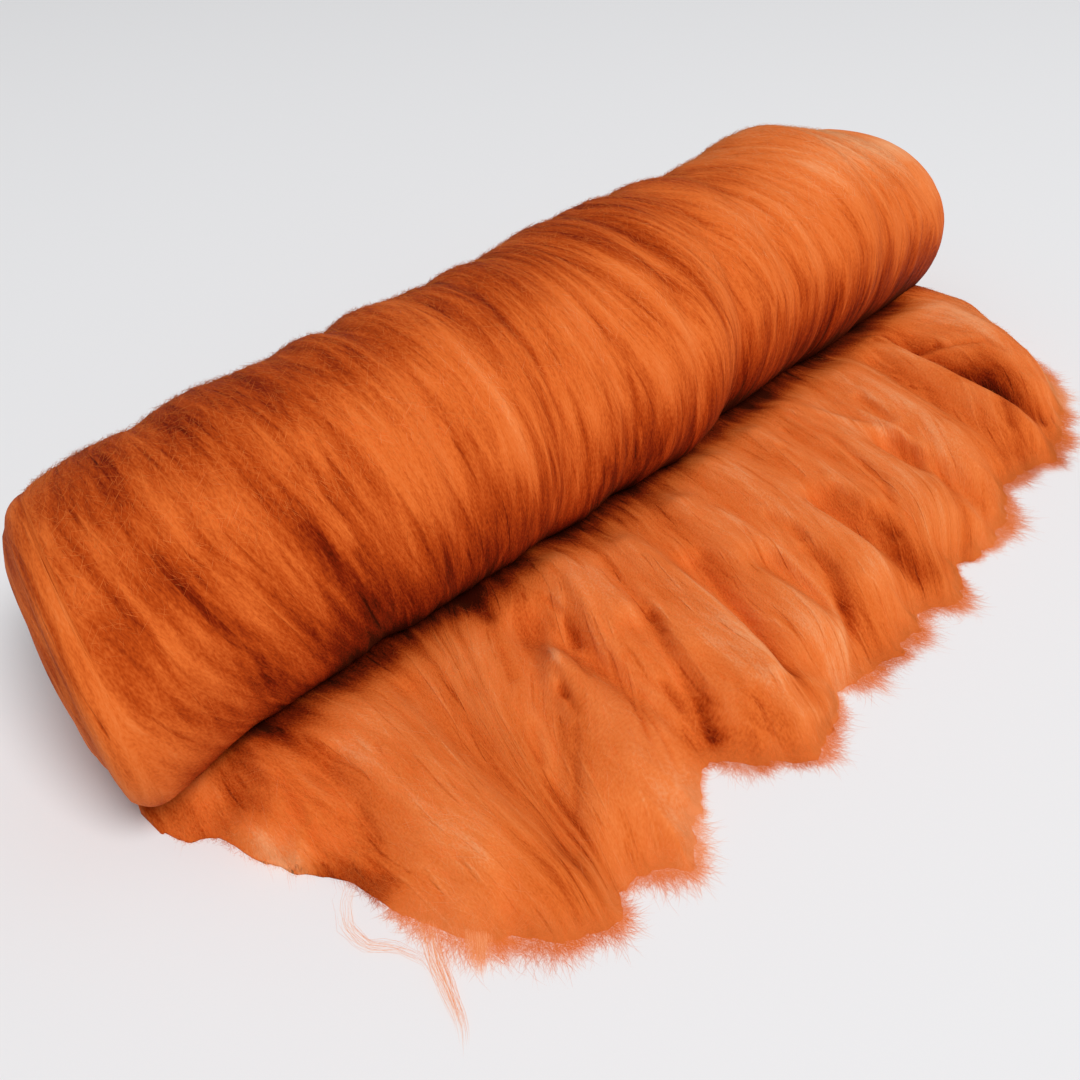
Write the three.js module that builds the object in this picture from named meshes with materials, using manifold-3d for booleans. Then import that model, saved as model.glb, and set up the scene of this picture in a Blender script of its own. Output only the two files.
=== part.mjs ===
// A carded wool batt: one blanket of combed fibre, loosely rolled, with its loose end spread flat in front.
//
// Frame: millimetres, +Z up, the surface that the batt rests on at Z = 0. +X runs along the roll, the loose
// end lies towards -Y, and the origin is on that surface under the middle of the roll.

import * as THREE from 'three';
import { mergeVertices } from 'three/addons/utils/BufferGeometryUtils.js';
import Module from 'manifold-3d';

// Driving dimensions of the roll
const ROLL_HALF_LENGTH = 300;
const FIBRE_SKEW = 0.155; // how far the fibres drift along X for each millimetre of travel along Y
const FLAT_SPOT_SINK = 3; // how far the oval is pressed into the surface
const OVAL_POWER = 2.05; // 2 is an ellipse, more is squarer
const ROLL_SIDES = 48;
const ROLL_STATIONS = 46;

// The roll's cross-sections: height over all, and how far each reaches to the front and back of its axis
const ROLL_SECTIONS = [
  { at: -300, height: 119, front: 80, back: 72 },
  { at: -260, height: 128, front: 74, back: 75 },
  { at: -204, height: 132, front: 73, back: 77 },
  { at: -140, height: 135, front: 77, back: 78 },
  { at: -63, height: 136, front: 80, back: 79 },
  { at: 0, height: 138, front: 83, back: 80 },
  { at: 28, height: 141, front: 86, back: 80 },
  { at: 60, height: 143, front: 85, back: 80 },
  { at: 88, height: 141, front: 75, back: 80 },
  { at: 150, height: 138, front: 77, back: 81 },
  { at: 236, height: 143, front: 79, back: 83 },
  { at: 270, height: 137, front: 79, back: 83 },
  { at: 320, height: 122, front: 74, back: 76 },
];

// Broad bands of fibre round the roll. A negative rise is a soft groove, peak is the angle in degrees from
// straight down towards the front at which the band is strongest, and lean carries it along X over the top
const ROLL_BANDS = [
  { at: -276, half: 20, rise: 2.0, peak: 200, lean: 4 },
  { at: -243, half: 9, rise: -2.2, peak: 150, lean: 8 },
  { at: -206, half: 22, rise: 2.4, peak: 190, lean: -6 },
  { at: -171, half: 10, rise: -1.6, peak: 90, lean: 10 },
  { at: -148, half: 13, rise: 1.8, peak: 110, lean: 4 },
  { at: -139, half: 8, rise: -2.6, peak: 205, lean: 12 },
  { at: -104, half: 18, rise: 2.4, peak: 170, lean: -8 },
  { at: -66, half: 9, rise: -2.0, peak: 150, lean: 10 },
  { at: -38, half: 15, rise: 1.8, peak: 100, lean: 6 },
  { at: -20, half: 8, rise: -2.4, peak: 190, lean: -6 },
  { at: 12, half: 13, rise: 2.0, peak: 200, lean: 10 },
  { at: 34, half: 8, rise: -2.0, peak: 160, lean: 8 },
  { at: 44, half: 16, rise: 3.0, peak: 60, lean: 10 },
  { at: 84, half: 10, rise: -2.6, peak: 80, lean: 12 },
  { at: 108, half: 20, rise: 1.8, peak: 190, lean: 6 },
  { at: 146, half: 9, rise: -2.4, peak: 200, lean: -8 },
  { at: 178, half: 12, rise: -1.6, peak: 110, lean: 4 },
  { at: 214, half: 20, rise: 2.6, peak: 170, lean: 8 },
  { at: 240, half: 8, rise: -1.8, peak: 120, lean: 10 },
  { at: 268, half: 14, rise: -1.8, peak: 190, lean: 6 },
];
const BAND_FADE = 0.7; // how much of a band is gone on the side of the roll away from its peak

// The two ends of the roll: how far the face stands out past the last section, how much of the radius rounds
// over into it, how far its middle stands out of its rim or, below zero, lies back, how much more the fibres
// are skewed there, and how far the end drifts along X for each millimetre of height
const ROLL_ENDS = [
  { side: -1, at: -290, rounding: 13, roundShare: 0.26, dome: -3, skew: 0.14, lean: -0.12 },
  { side: 1, at: 310, rounding: 54, roundShare: 0.66, dome: 5, skew: -0.2, lean: -0.09 },
];
const END_REACH = 70; // how far into the roll the skew and lean of an end are felt
const END_RINGS = 16;
const LAYER_PITCH = 21; // thickness of one turn of the batt in the roll
const LAYER_GROOVE = 3.5; // depth of the layered spiral that the winding leaves in an end
const GROOVE_FADES = { rim: 3, middle: 4 }; // how steeply the spiral sets in from the rim and the middle

// The loose end: its free edge from the near corner to the far one, and the back edge that the roll hides
// but for a rounded flap past its far end
const FREE_EDGE = [
  { x: -310, y: -56 },
  { x: -305, y: -72 },
  { x: -295, y: -77 },
  { x: -291, y: -98 },
  { x: -284, y: -118 },
  { x: -272, y: -134 },
  { x: -268, y: -162 },
  { x: -260, y: -182 },
  { x: -244, y: -202 },
  { x: -231, y: -220 },
  { x: -214, y: -226 },
  { x: -200, y: -216 },
  { x: -187, y: -218 },
  { x: -175, y: -232 },
  { x: -160, y: -224 },
  { x: -142, y: -210 },
  { x: -127, y: -203 },
  { x: -112, y: -220 },
  { x: -93, y: -240 },
  { x: -74, y: -234 },
  { x: -48, y: -225 },
  { x: -28, y: -228 },
  { x: -6, y: -232 },
  { x: 22, y: -226 },
  { x: 50, y: -236 },
  { x: 62, y: -234 },
  { x: 75, y: -224 },
  { x: 100, y: -231 },
  { x: 116, y: -229 },
  { x: 150, y: -217 },
  { x: 172, y: -210 },
  { x: 205, y: -219 },
  { x: 240, y: -213 },
  { x: 272, y: -202 },
  { x: 300, y: -182 },
  { x: 326, y: -156 },
  { x: 344, y: -126 },
  { x: 357, y: -96 },
];
const BACK_EDGE = [
  { x: -310, y: -44 },
  { x: -296, y: -20 },
  { x: -270, y: 6 },
  { x: 300, y: 6 },
  { x: 328, y: -12 },
  { x: 348, y: -36 },
  { x: 357, y: -70 },
];
const EDGE_STEP = 9; // about how far apart the points along the free edge lie
const SPREAD_ROWS = 11;
const SPREAD_CROWDING = 1.4; // above 1 crowds the rows towards the free edge
const EDGE_THICKNESS = 3;
const SPREAD_THICKNESS = 21;
const EDGE_ROUNDING = 12.5; // how far in from the edge the batt has come up by two thirds of its thickness
const PRESSED_THICKNESS = 15; // where the roll bears on it
const PRESSED_REACH = -48; // the Y at which the roll bears fully
const PRESSED_EASING = 40; // how far in front of that the batt begins to be pressed

// Folds of the loose end, each along a line from the roll outwards: a positive rise is a ridge, a negative
// one a trough, and half is half its width
const FOLDS = [
  { x1: -262, y1: -64, x2: -281, y2: -112, half: 9, rise: 5 },
  { x1: -250, y1: -96, x2: -262, y2: -140, half: 9, rise: -5 },
  { x1: -222, y1: -70, x2: -236, y2: -190, half: 20, rise: 4 },
  { x1: -196, y1: -90, x2: -206, y2: -200, half: 9, rise: -4 },
  { x1: -160, y1: -74, x2: -182, y2: -196, half: 18, rise: 4 },
  { x1: -135, y1: -104, x2: -206, y2: -194, half: 9, rise: -5 },
  { x1: -138, y1: -128, x2: -172, y2: -214, half: 11, rise: 4 },
  { x1: -124, y1: -100, x2: -122, y2: -196, half: 11, rise: -9 },
  { x1: -92, y1: -82, x2: -98, y2: -160, half: 13, rise: 5 },
  { x1: -96, y1: -140, x2: -116, y2: -200, half: 8, rise: -7 },
  { x1: -56, y1: -100, x2: -78, y2: -200, half: 13, rise: 7 },
  { x1: -40, y1: -130, x2: -66, y2: -204, half: 8, rise: -6 },
  { x1: -8, y1: -100, x2: -34, y2: -204, half: 14, rise: 8 },
  { x1: -16, y1: -160, x2: -20, y2: -226, half: 10, rise: -8 },
  { x1: 36, y1: -90, x2: 14, y2: -200, half: 17, rise: 7 },
  { x1: 52, y1: -150, x2: 42, y2: -214, half: 9, rise: -8 },
  { x1: 80, y1: -88, x2: 66, y2: -170, half: 11, rise: 5 },
  { x1: 116, y1: -88, x2: 88, y2: -206, half: 17, rise: 7 },
  { x1: 128, y1: -150, x2: 122, y2: -206, half: 9, rise: -7 },
  { x1: 182, y1: -92, x2: 144, y2: -206, half: 18, rise: 6 },
  { x1: 214, y1: -96, x2: 184, y2: -196, half: 10, rise: -6 },
  { x1: 238, y1: -82, x2: 214, y2: -200, half: 15, rise: 4 },
  { x1: 254, y1: -96, x2: 236, y2: -196, half: 12, rise: -11 },
  { x1: 312, y1: -58, x2: 282, y2: -186, half: 22, rise: 8 },
];

// The ragged free edge: a narrow strip parted from the loose end, and the locks of fibre that leave it
const EDGE_GAP = 0.4;
const STRIP_WIDTH = 3;
const STRIP_THICKNESS = 2;
const ROOT_TRIM = 0.5; // how far inside the strip a lock's root is trimmed
const LOCKED_SPAN = { from: -269, to: 327 }; // the stretch of free edge that is ragged, by X
const LOCK_SPACING = 12;
const LOCK_ROOT_WIDTH = 6;
const LOCK_TIP_WIDTH = 1.2;
const LOCK_THICKNESS = 1.6;
const LOCK_SEGMENTS = 2;
const BAND_SIDES = 4; // corners of a lock's or wisp's cross-section
const LOCK_LENGTHS = [8, 5, 10, 7, 5, 9, 12, 6, 7, 9, 5];
const LOCK_CURL = 0.6; // the most that a lock turns from root to tip, in radians
const CURL_PHASE = 1.7; // how the turn varies from lock to lock, in radians of its cycle
const EDGE_PULL = 0.35; // 0 points a lock along the fibres, 1 straight out of the edge

// The two long wisps at the near corner, each from its root outwards, and the room that locks leave them
const WISP_ROOM = 9;
const WISPS = [
  {
    rootWidth: 7,
    tipWidth: 2.5,
    course: [
      { x: -264, y: -172 },
      { x: -276, y: -180 },
      { x: -281, y: -193 },
      { x: -281, y: -206 },
      { x: -284, y: -217 },
      { x: -291, y: -220 },
    ],
  },
  {
    rootWidth: 8,
    tipWidth: 1.5,
    course: [
      { x: -248, y: -193 },
      { x: -256, y: -203 },
      { x: -260, y: -214 },
    ],
  },
];

const WOOL_COLOUR = '#c9642c';
const EDGE_COLOUR = '#d97a42';
const WOOL_ROUGHNESS = 0.95;

const wasm = await Module();
wasm.setup();

// A value from a table's column, running straight from row to row
function columnAt(table, key, column, at) {
  const last = table.length - 1;
  if (at <= table[0][key]) return table[0][column];
  if (at >= table[last][key]) return table[last][column];
  const next = table.findIndex((row) => row[key] > at);
  const low = table[next - 1];
  const high = table[next];
  const share = (at - low[key]) / (high[key] - low[key]);
  return THREE.MathUtils.lerp(low[column], high[column], share);
}

// Builds an indexed geometry from points and triangles
function geometryFrom(points, triangles) {
  const geometry = new THREE.BufferGeometry();
  geometry.setAttribute('position', new THREE.Float32BufferAttribute(points.flat(), 3));
  geometry.setIndex(triangles.flat());
  return geometry;
}

// Turns a geometry into a solid that can be joined and cut
function solidFrom(geometry) {
  const bare = geometry.clone();
  bare.deleteAttribute('normal');
  bare.deleteAttribute('uv');
  const merged = mergeVertices(bare, 1e-4);
  return new wasm.Manifold(new wasm.Mesh({
    numProp: 3,
    vertProperties: new Float32Array(merged.attributes.position.array),
    triVerts: new Uint32Array(merged.index.array),
  }));
}

// Turns a joined solid back into a geometry
function geometryOf(solid) {
  const mesh = solid.getMesh();
  const geometry = new THREE.BufferGeometry();
  geometry.setAttribute('position', new THREE.Float32BufferAttribute(mesh.vertProperties, 3));
  geometry.setIndex(new THREE.Uint32BufferAttribute(mesh.triVerts, 1));
  return geometry;
}

// How far the bands raise the roll at a place along it and an angle round it
function bandRise(x, angle) {
  const carry = Math.cos(angle);
  return ROLL_BANDS.reduce((sum, band) => {
    const off = (x - band.at + band.lean * carry) / band.half;
    const away = (1 - Math.cos(angle - THREE.MathUtils.degToRad(band.peak))) / 2;
    return sum + band.rise * (1 - BAND_FADE * away) * Math.exp(-off * off);
  }, 0);
}

// What the ends add to a place along the roll, from one of the columns of their table
function fromEnds(x, column) {
  return ROLL_ENDS.reduce((sum, end) => {
    const nearness = THREE.MathUtils.clamp(1 - Math.abs(x - end.at) / END_REACH, 0, 1);
    return sum + end[column] * nearness * nearness;
  }, 0);
}

// A point of the roll: x before the skew, the angle round it from straight down towards the front, and the
// share of the radius
function rollPoint(x, angle, share) {
  const height = columnAt(ROLL_SECTIONS, 'at', 'height', x);
  const reach = columnAt(ROLL_SECTIONS, 'at', Math.sin(angle) > 0 ? 'front' : 'back', x);
  const half = (height + FLAT_SPOT_SINK) / 2;
  const along = Math.sign(Math.sin(angle)) * Math.abs(Math.sin(angle)) ** (2 / OVAL_POWER);
  const up = -Math.sign(Math.cos(angle)) * Math.abs(Math.cos(angle)) ** (2 / OVAL_POWER);
  const swell = share * bandRise(x, angle);
  const y = -along * (reach * share + swell);
  const middle = half - FLAT_SPOT_SINK;
  const z = Math.max(middle + up * (half * share + swell), 0);
  const drift = (FIBRE_SKEW + fromEnds(x, 'skew')) * y + fromEnds(x, 'lean') * (z - middle);
  return [x + drift, y, z];
}

// How deep the spiral groove of the winding is at a share of the radius
function spiralGroove(angle, share, radius) {
  const turn = (share * radius) / LAYER_PITCH - angle / (2 * Math.PI);
  const fade = Math.min(1, (1 - share) * GROOVE_FADES.rim, share * GROOVE_FADES.middle);
  return LAYER_GROOVE * fade * Math.cos(turn * 2 * Math.PI);
}

// The angle of one of the points round the roll
function angleOf(side) {
  return (side / ROLL_SIDES) * 2 * Math.PI;
}

// The rings of points over one end of the roll, from just inside its rim to near its middle
function endRings(end) {
  const radius = columnAt(ROLL_SECTIONS, 'at', 'height', end.at) / 2;
  return Array.from({ length: END_RINGS }, (_, ring) => {
    const share = 1 - (ring + 1) / (END_RINGS + 1);
    const inRounding = Math.max(0, (share - (1 - end.roundShare)) / end.roundShare);
    const stand = end.rounding * Math.sqrt(1 - inRounding * inRounding) + end.dome * (1 - share * share);
    return Array.from({ length: ROLL_SIDES }, (_, side) => {
      const angle = angleOf(side);
      const [x, y, z] = rollPoint(end.at, angle, share);
      return [x + end.side * (stand - spiralGroove(angle, share, radius)), y, z];
    });
  });
}

// The wound roll: rings of points from the near end's middle to the far end's, joined ring to ring
function buildRoll() {
  const [near, far] = ROLL_ENDS;
  const body = Array.from({ length: ROLL_STATIONS + 1 }, (_, station) => {
    const x = THREE.MathUtils.lerp(near.at, far.at, station / ROLL_STATIONS);
    return Array.from({ length: ROLL_SIDES }, (_, side) => rollPoint(x, angleOf(side), 1));
  });
  const rings = [...endRings(near).reverse(), ...body, ...endRings(far)];
  const points = rings.flat();
  const triangles = [];
  for (let ring = 0; ring + 1 < rings.length; ring += 1) {
    for (let side = 0; side < ROLL_SIDES; side += 1) {
      const next = (side + 1) % ROLL_SIDES;
      const [a, b] = [ring * ROLL_SIDES + side, ring * ROLL_SIDES + next];
      const [c, d] = [a + ROLL_SIDES, b + ROLL_SIDES];
      triangles.push([a, d, b], [a, c, d]);
    }
  }
  for (const [ring, outward] of [[0, -1], [rings.length - 1, 1]]) {
    const centre = points.length;
    const total = (axis) => rings[ring].reduce((sum, point) => sum + point[axis], 0);
    points.push([total(0) / ROLL_SIDES, total(1) / ROLL_SIDES, total(2) / ROLL_SIDES]);
    for (let side = 0; side < ROLL_SIDES; side += 1) {
      const first = ring * ROLL_SIDES + side;
      const second = ring * ROLL_SIDES + ((side + 1) % ROLL_SIDES);
      triangles.push(outward > 0 ? [centre, second, first] : [centre, first, second]);
    }
  }
  return geometryFrom(points, triangles);
}

// The distance from a place to a line between two others, all in plan
function distanceToLine(x, y, line) {
  const [dx, dy] = [line.x2 - line.x1, line.y2 - line.y1];
  const along = ((x - line.x1) * dx + (y - line.y1) * dy) / (dx * dx + dy * dy);
  const share = THREE.MathUtils.clamp(along, 0, 1);
  return Math.hypot(x - line.x1 - share * dx, y - line.y1 - share * dy);
}

// The loose end's outline, without the stretch that the roll hides
const SHOWN_OUTLINE = [...FREE_EDGE, ...BACK_EDGE.filter((row) => row.x > ROLL_HALF_LENGTH).reverse()];

function distanceToEdge(x, y) {
  const distances = SHOWN_OUTLINE.slice(1).map((row, i) => {
    const before = SHOWN_OUTLINE[i];
    return distanceToLine(x, y, { x1: before.x, y1: before.y, x2: row.x, y2: row.y });
  });
  return Math.min(...distances);
}

// The loose end's thickness at a place: thin at its edge, full further in, pressed under the roll and folded
function spreadThickness(x, y) {
  const inward = 1 - Math.exp(-distanceToEdge(x, y) / EDGE_ROUNDING);
  const pressed = THREE.MathUtils.smoothstep(y, PRESSED_REACH - PRESSED_EASING, PRESSED_REACH);
  const bare = x > ROLL_HALF_LENGTH ? 0 : pressed;
  const full = THREE.MathUtils.lerp(SPREAD_THICKNESS, PRESSED_THICKNESS, bare);
  const folds = FOLDS.reduce((sum, fold) => {
    const off = distanceToLine(x, y, fold) / fold.half;
    return sum + fold.rise * Math.exp(-off * off);
  }, 0);
  return EDGE_THICKNESS + (full - EDGE_THICKNESS + folds) * inward;
}

// The free edge with points added between its rows, about a step apart
const EDGE_COURSE = FREE_EDGE.flatMap((row, i) => {
  if (i === 0) return [row];
  const before = FREE_EDGE[i - 1];
  const steps = Math.max(1, Math.round(Math.hypot(row.x - before.x, row.y - before.y) / EDGE_STEP));
  return Array.from({ length: steps }, (_, step) => {
    const share = (step + 1) / steps;
    const [x, y] = ['x', 'y'].map((axis) => THREE.MathUtils.lerp(before[axis], row[axis], share));
    return { x, y };
  });
});

// The loose end: a field of thickness over its outline, closed by a flat underside
function buildSpread() {
  const columns = EDGE_COURSE.length;
  const points = [];
  for (let row = 0; row <= SPREAD_ROWS; row += 1) {
    const share = (row / SPREAD_ROWS) ** SPREAD_CROWDING;
    for (const front of EDGE_COURSE) {
      const y = THREE.MathUtils.lerp(front.y, columnAt(BACK_EDGE, 'x', 'y', front.x), share);
      points.push([front.x, y, spreadThickness(front.x, y)]);
    }
  }
  const triangles = [];
  for (let row = 0; row < SPREAD_ROWS; row += 1) {
    for (let column = 0; column + 1 < columns; column += 1) {
      const a = row * columns + column;
      const [b, c, d] = [a + 1, a + columns, a + columns + 1];
      triangles.push([a, b, d], [a, d, c]);
    }
  }
  const rim = [];
  for (let column = 0; column < columns; column += 1) rim.push(column);
  for (let row = 1; row <= SPREAD_ROWS; row += 1) rim.push((row + 1) * columns - 1);
  for (let column = columns - 2; column >= 0; column -= 1) rim.push(SPREAD_ROWS * columns + column);
  for (let row = SPREAD_ROWS - 1; row > 0; row -= 1) rim.push(row * columns);
  const under = points.length;
  const plan = rim.map((index) => new THREE.Vector2(points[index][0], points[index][1]));
  plan.forEach((place) => points.push([place.x, place.y, 0]));
  rim.forEach((index, i) => {
    const j = (i + 1) % rim.length;
    triangles.push([index, under + i, under + j], [index, under + j, rim[j]]);
  });
  for (const [a, b, c] of THREE.ShapeUtils.triangulateShape(plan, [])) {
    triangles.push([under + c, under + b, under + a]);
  }
  return geometryFrom(points, triangles);
}

// A flat band on the surface along a course of points, tapering from one width to another
function buildBand(course, rootWidth, tipWidth, thickness) {
  const last = course.length - 1;
  const points = [];
  course.forEach((place, i) => {
    const before = course[Math.max(0, i - 1)];
    const after = course[Math.min(last, i + 1)];
    const length = Math.hypot(after.x - before.x, after.y - before.y);
    const [nx, ny] = [-(after.y - before.y) / length, (after.x - before.x) / length];
    const half = THREE.MathUtils.lerp(rootWidth, tipWidth, i / last) / 2;
    const top = THREE.MathUtils.lerp(thickness, thickness / 2, i / last);
    for (const [side, z] of [[1, 0], [-1, 0], [-1, top], [1, top]]) {
      points.push([place.x + side * half * nx, place.y + side * half * ny, z]);
    }
  });
  const triangles = [[0, 1, 2], [0, 2, 3]];
  for (let i = 0; i < last; i += 1) {
    for (let side = 0; side < BAND_SIDES; side += 1) {
      const [a, b] = [i * BAND_SIDES + side, i * BAND_SIDES + ((side + 1) % BAND_SIDES)];
      triangles.push([a, b + BAND_SIDES, b], [a, a + BAND_SIDES, b + BAND_SIDES]);
    }
  }
  const end = last * BAND_SIDES;
  triangles.push([end, end + 2, end + 1], [end, end + 3, end + 2]);
  return geometryFrom(points, triangles);
}

// A course moved sideways, to the right of the way it runs, with mitred corners
function offsetCourse(course, distance) {
  const last = course.length - 1;
  const heading = (from, to) => Math.atan2(to.y - from.y, to.x - from.x);
  return course.map((place, i) => {
    const out = heading(course[Math.min(i, last - 1)], course[Math.min(i + 1, last)]);
    const into = heading(course[Math.max(i - 1, 0)], course[Math.max(i, 1)]);
    const half = Math.atan2(Math.sin(out - into), Math.cos(out - into)) / 2;
    const reach = distance / Math.cos(half);
    const normal = into + half - Math.PI / 2;
    return { x: place.x + reach * Math.cos(normal), y: place.y + reach * Math.sin(normal), outward: normal };
  });
}

// A flat slab on the surface over a closed outline
function slabOver(outline, thickness) {
  const shape = new THREE.Shape(outline.map((place) => new THREE.Vector2(place.x, place.y)));
  return new THREE.ExtrudeGeometry(shape, { depth: thickness, bevelEnabled: false });
}

// One lock's course: out of the strip, turning a little as it goes
function lockCourse(root, length, turn) {
  const alongFibres = Math.atan2(-1, -FIBRE_SKEW);
  const swing = Math.atan2(Math.sin(root.outward - alongFibres), Math.cos(root.outward - alongFibres));
  const course = [{ x: root.x, y: root.y }];
  const step = (length + STRIP_WIDTH) / LOCK_SEGMENTS;
  for (let i = 0; i < LOCK_SEGMENTS; i += 1) {
    const heading = alongFibres + EDGE_PULL * swing + (turn * i) / LOCK_SEGMENTS;
    const from = course[i];
    course.push({ x: from.x + step * Math.cos(heading), y: from.y + step * Math.sin(heading) });
  }
  return course;
}

// The strip, its locks and the wisps in one solid, with the roots trimmed inside the strip
function buildEdgeLocks() {
  const ragged = EDGE_COURSE.filter((place) => place.x >= LOCKED_SPAN.from && place.x <= LOCKED_SPAN.to);
  const inner = offsetCourse(ragged, EDGE_GAP);
  const outer = offsetCourse(ragged, EDGE_GAP + STRIP_WIDTH);
  const strip = solidFrom(slabOver([...inner, ...outer.reverse()], STRIP_THICKNESS));
  const letOut = offsetCourse(EDGE_COURSE, EDGE_GAP + ROOT_TRIM);
  const keepOut = solidFrom(slabOver([...letOut, ...[...BACK_EDGE].reverse()], SPREAD_THICKNESS));
  const rootLine = offsetCourse(ragged, EDGE_GAP + STRIP_WIDTH / 4);
  const tufts = WISPS.map((wisp) => buildBand(wisp.course, wisp.rootWidth, wisp.tipWidth, LOCK_THICKNESS));
  let travelled = 0;
  let locks = 0;
  rootLine.slice(1, -1).forEach((root, i) => {
    travelled += Math.hypot(root.x - rootLine[i].x, root.y - rootLine[i].y);
    if (travelled < (locks + 1) * LOCK_SPACING) return;
    locks += 1;
    const fromWisp = ({ course: [start] }) => Math.hypot(root.x - start.x, root.y - start.y);
    if (WISPS.some((wisp) => fromWisp(wisp) < WISP_ROOM)) return;
    const length = LOCK_LENGTHS[locks % LOCK_LENGTHS.length];
    const course = lockCourse(root, length, LOCK_CURL * Math.sin(locks * CURL_PHASE));
    tufts.push(buildBand(course, LOCK_ROOT_WIDTH, LOCK_TIP_WIDTH, LOCK_THICKNESS));
  });
  return geometryOf(tufts.reduce((solid, tuft) => solid.add(solidFrom(tuft).subtract(keepOut)), strip));
}

function named(name, geometry, colour) {
  const finish = { color: colour, roughness: WOOL_ROUGHNESS, metalness: 0 };
  const mesh = new THREE.Mesh(geometry, new THREE.MeshStandardMaterial(finish));
  mesh.name = name;
  return mesh;
}

const spreadSolid = solidFrom(buildSpread());
const battSolid = solidFrom(buildRoll()).add(spreadSolid);

const part = new THREE.Group();
part.add(named('batt', geometryOf(battSolid), WOOL_COLOUR));
part.add(named('edge_locks', buildEdgeLocks(), EDGE_COLOUR));
export default part;
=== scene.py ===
"""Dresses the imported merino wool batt: a loosely wound roll of combed fibre and its loose end, spread in front.

Inside the classes lengths are millimetres in the part's own frame: X along the roll, the loose end towards -Y,
and the surface that the wool lies on at Z = 0. Meshes are handed to Blender in metres.
"""

import sys

import logging
import math
from dataclasses import astuple, dataclass, field, replace
from enum import Enum
from typing import Any

import bpy
import numpy as np
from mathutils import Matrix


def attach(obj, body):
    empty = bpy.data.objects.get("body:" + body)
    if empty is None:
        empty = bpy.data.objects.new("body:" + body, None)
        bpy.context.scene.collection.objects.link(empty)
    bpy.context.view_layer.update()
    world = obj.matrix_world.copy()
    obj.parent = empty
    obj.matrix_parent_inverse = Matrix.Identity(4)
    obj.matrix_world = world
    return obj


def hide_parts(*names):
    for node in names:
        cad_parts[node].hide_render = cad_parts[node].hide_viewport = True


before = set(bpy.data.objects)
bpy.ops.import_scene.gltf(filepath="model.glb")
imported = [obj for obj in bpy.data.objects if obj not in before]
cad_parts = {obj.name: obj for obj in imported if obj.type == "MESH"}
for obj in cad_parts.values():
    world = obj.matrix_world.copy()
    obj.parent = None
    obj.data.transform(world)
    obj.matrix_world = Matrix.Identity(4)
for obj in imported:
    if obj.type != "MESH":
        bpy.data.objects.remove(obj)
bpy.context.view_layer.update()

METRE = 1000.0
SEED = 41
BODY = "root"
FIBRE_MAP = "fibre"
TONE = "tone"
TINY = 1e-9
FAINT = 1e-6
LAST_CELL = 1.001
STRAND_WHOLE = 2.6
LOG = logging.getLogger("batt")

Array = np.ndarray


class Lay(Enum):
    """How a fibre lies on the wool under it."""

    SETTLED = "settled"
    STRAY = "stray"


class Slot(Enum):
    """The record's material slots."""

    WOOL = "wool"
    EDGE = "wool_edge"


def smoothstep(value: Array, low: float, high: float) -> Array:
    """An easy rise from 0 at low to 1 at high, which may be the smaller of the two.

    Args:
        value: Where to read the rise.
        low: Where it begins.
        high: Where it ends.

    Returns:
        The rise at each value.
    """
    share = np.clip((value - low) / (high - low), 0, 1)
    return share * share * (3 - 2 * share)


def unit(vectors: Array) -> Array:
    """Scales vectors to length one.

    Args:
        vectors: Any array whose last axis is a vector.

    Returns:
        The same directions, with length one.
    """
    return vectors / np.maximum(np.linalg.norm(vectors, axis=-1, keepdims=True), TINY)


def from_segment(x: Array, y: Array, start: tuple[float, float], end: tuple[float, float]) -> tuple[Array, Array]:
    """How far places are from a straight stretch, and where along it each is nearest.

    Args:
        x: Places along X.
        y: Places along Y.
        start: Where the stretch begins.
        end: Where it ends.

    Returns:
        The distances, and each nearest point's share of the stretch.
    """
    dx, dy = end[0] - start[0], end[1] - start[1]
    share = np.clip(((x - start[0]) * dx + (y - start[1]) * dy) / max(dx * dx + dy * dy, TINY), 0, 1)
    return np.hypot(x - start[0] - share * dx, y - start[1] - share * dy), share


def read_grid(grid: Array, row: Array, column: Array) -> Array:
    """Reads a grid of values between its points. Each way it runs on from its end to its start.

    Args:
        grid: The values.
        row: Where to read, in rows.
        column: Where to read, in columns.

    Returns:
        The values there.
    """
    r0, c0 = np.floor(row).astype(int), np.floor(column).astype(int)
    fr, fc = row - r0, column - c0
    r1, c1 = (r0 + 1) % grid.shape[0], (c0 + 1) % grid.shape[1]
    r0, c0 = r0 % grid.shape[0], c0 % grid.shape[1]
    top = grid[r0, c0] * (1 - fc) + grid[r0, c1] * fc
    bottom = grid[r1, c0] * (1 - fc) + grid[r1, c1] * fc
    return top * (1 - fr) + bottom * fr


def strands(slits: Array, low: float, rise: float, depth: float) -> Array:
    """What the sparse strands and the slits between locks add to the wool's relief, and to its tone, where a slit's
    darkness is painted shade.

    Args:
        slits: The random field that places them.
        low: How far from its middle the field is where one begins.
        rise: What a strand adds.
        depth: What a slit takes away.

    Returns:
        The change at each place.
    """
    return rise * smoothstep(-slits, low, STRAND_WHOLE) - depth * smoothstep(slits, low, STRAND_WHOLE)


def walk(course: Array) -> Array:
    """How far each point of a course is from its start.

    Args:
        course: Points, one a row.

    Returns:
        The distances along the course.
    """
    return np.concatenate([[0], np.cumsum(np.hypot(*np.diff(course, axis=0).T))])


@dataclass(frozen=True)
class Section:
    """One cross-section of the roll: its place, its height, and its reach in front of and behind the axis."""

    at: float
    height: float
    front: float
    back: float


@dataclass(frozen=True)
class Band:
    """A broad swell or groove round the roll. peak is in degrees from straight down towards the front."""

    at: float
    half: float
    rise: float
    peak: float
    lean: float


@dataclass(frozen=True)
class RollEnd:
    """How one end of the roll closes: its rounding, and how its plane is turned."""

    side: int
    at: float
    rounding: float
    share: float
    dome: float
    skew: float
    lean: float


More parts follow.
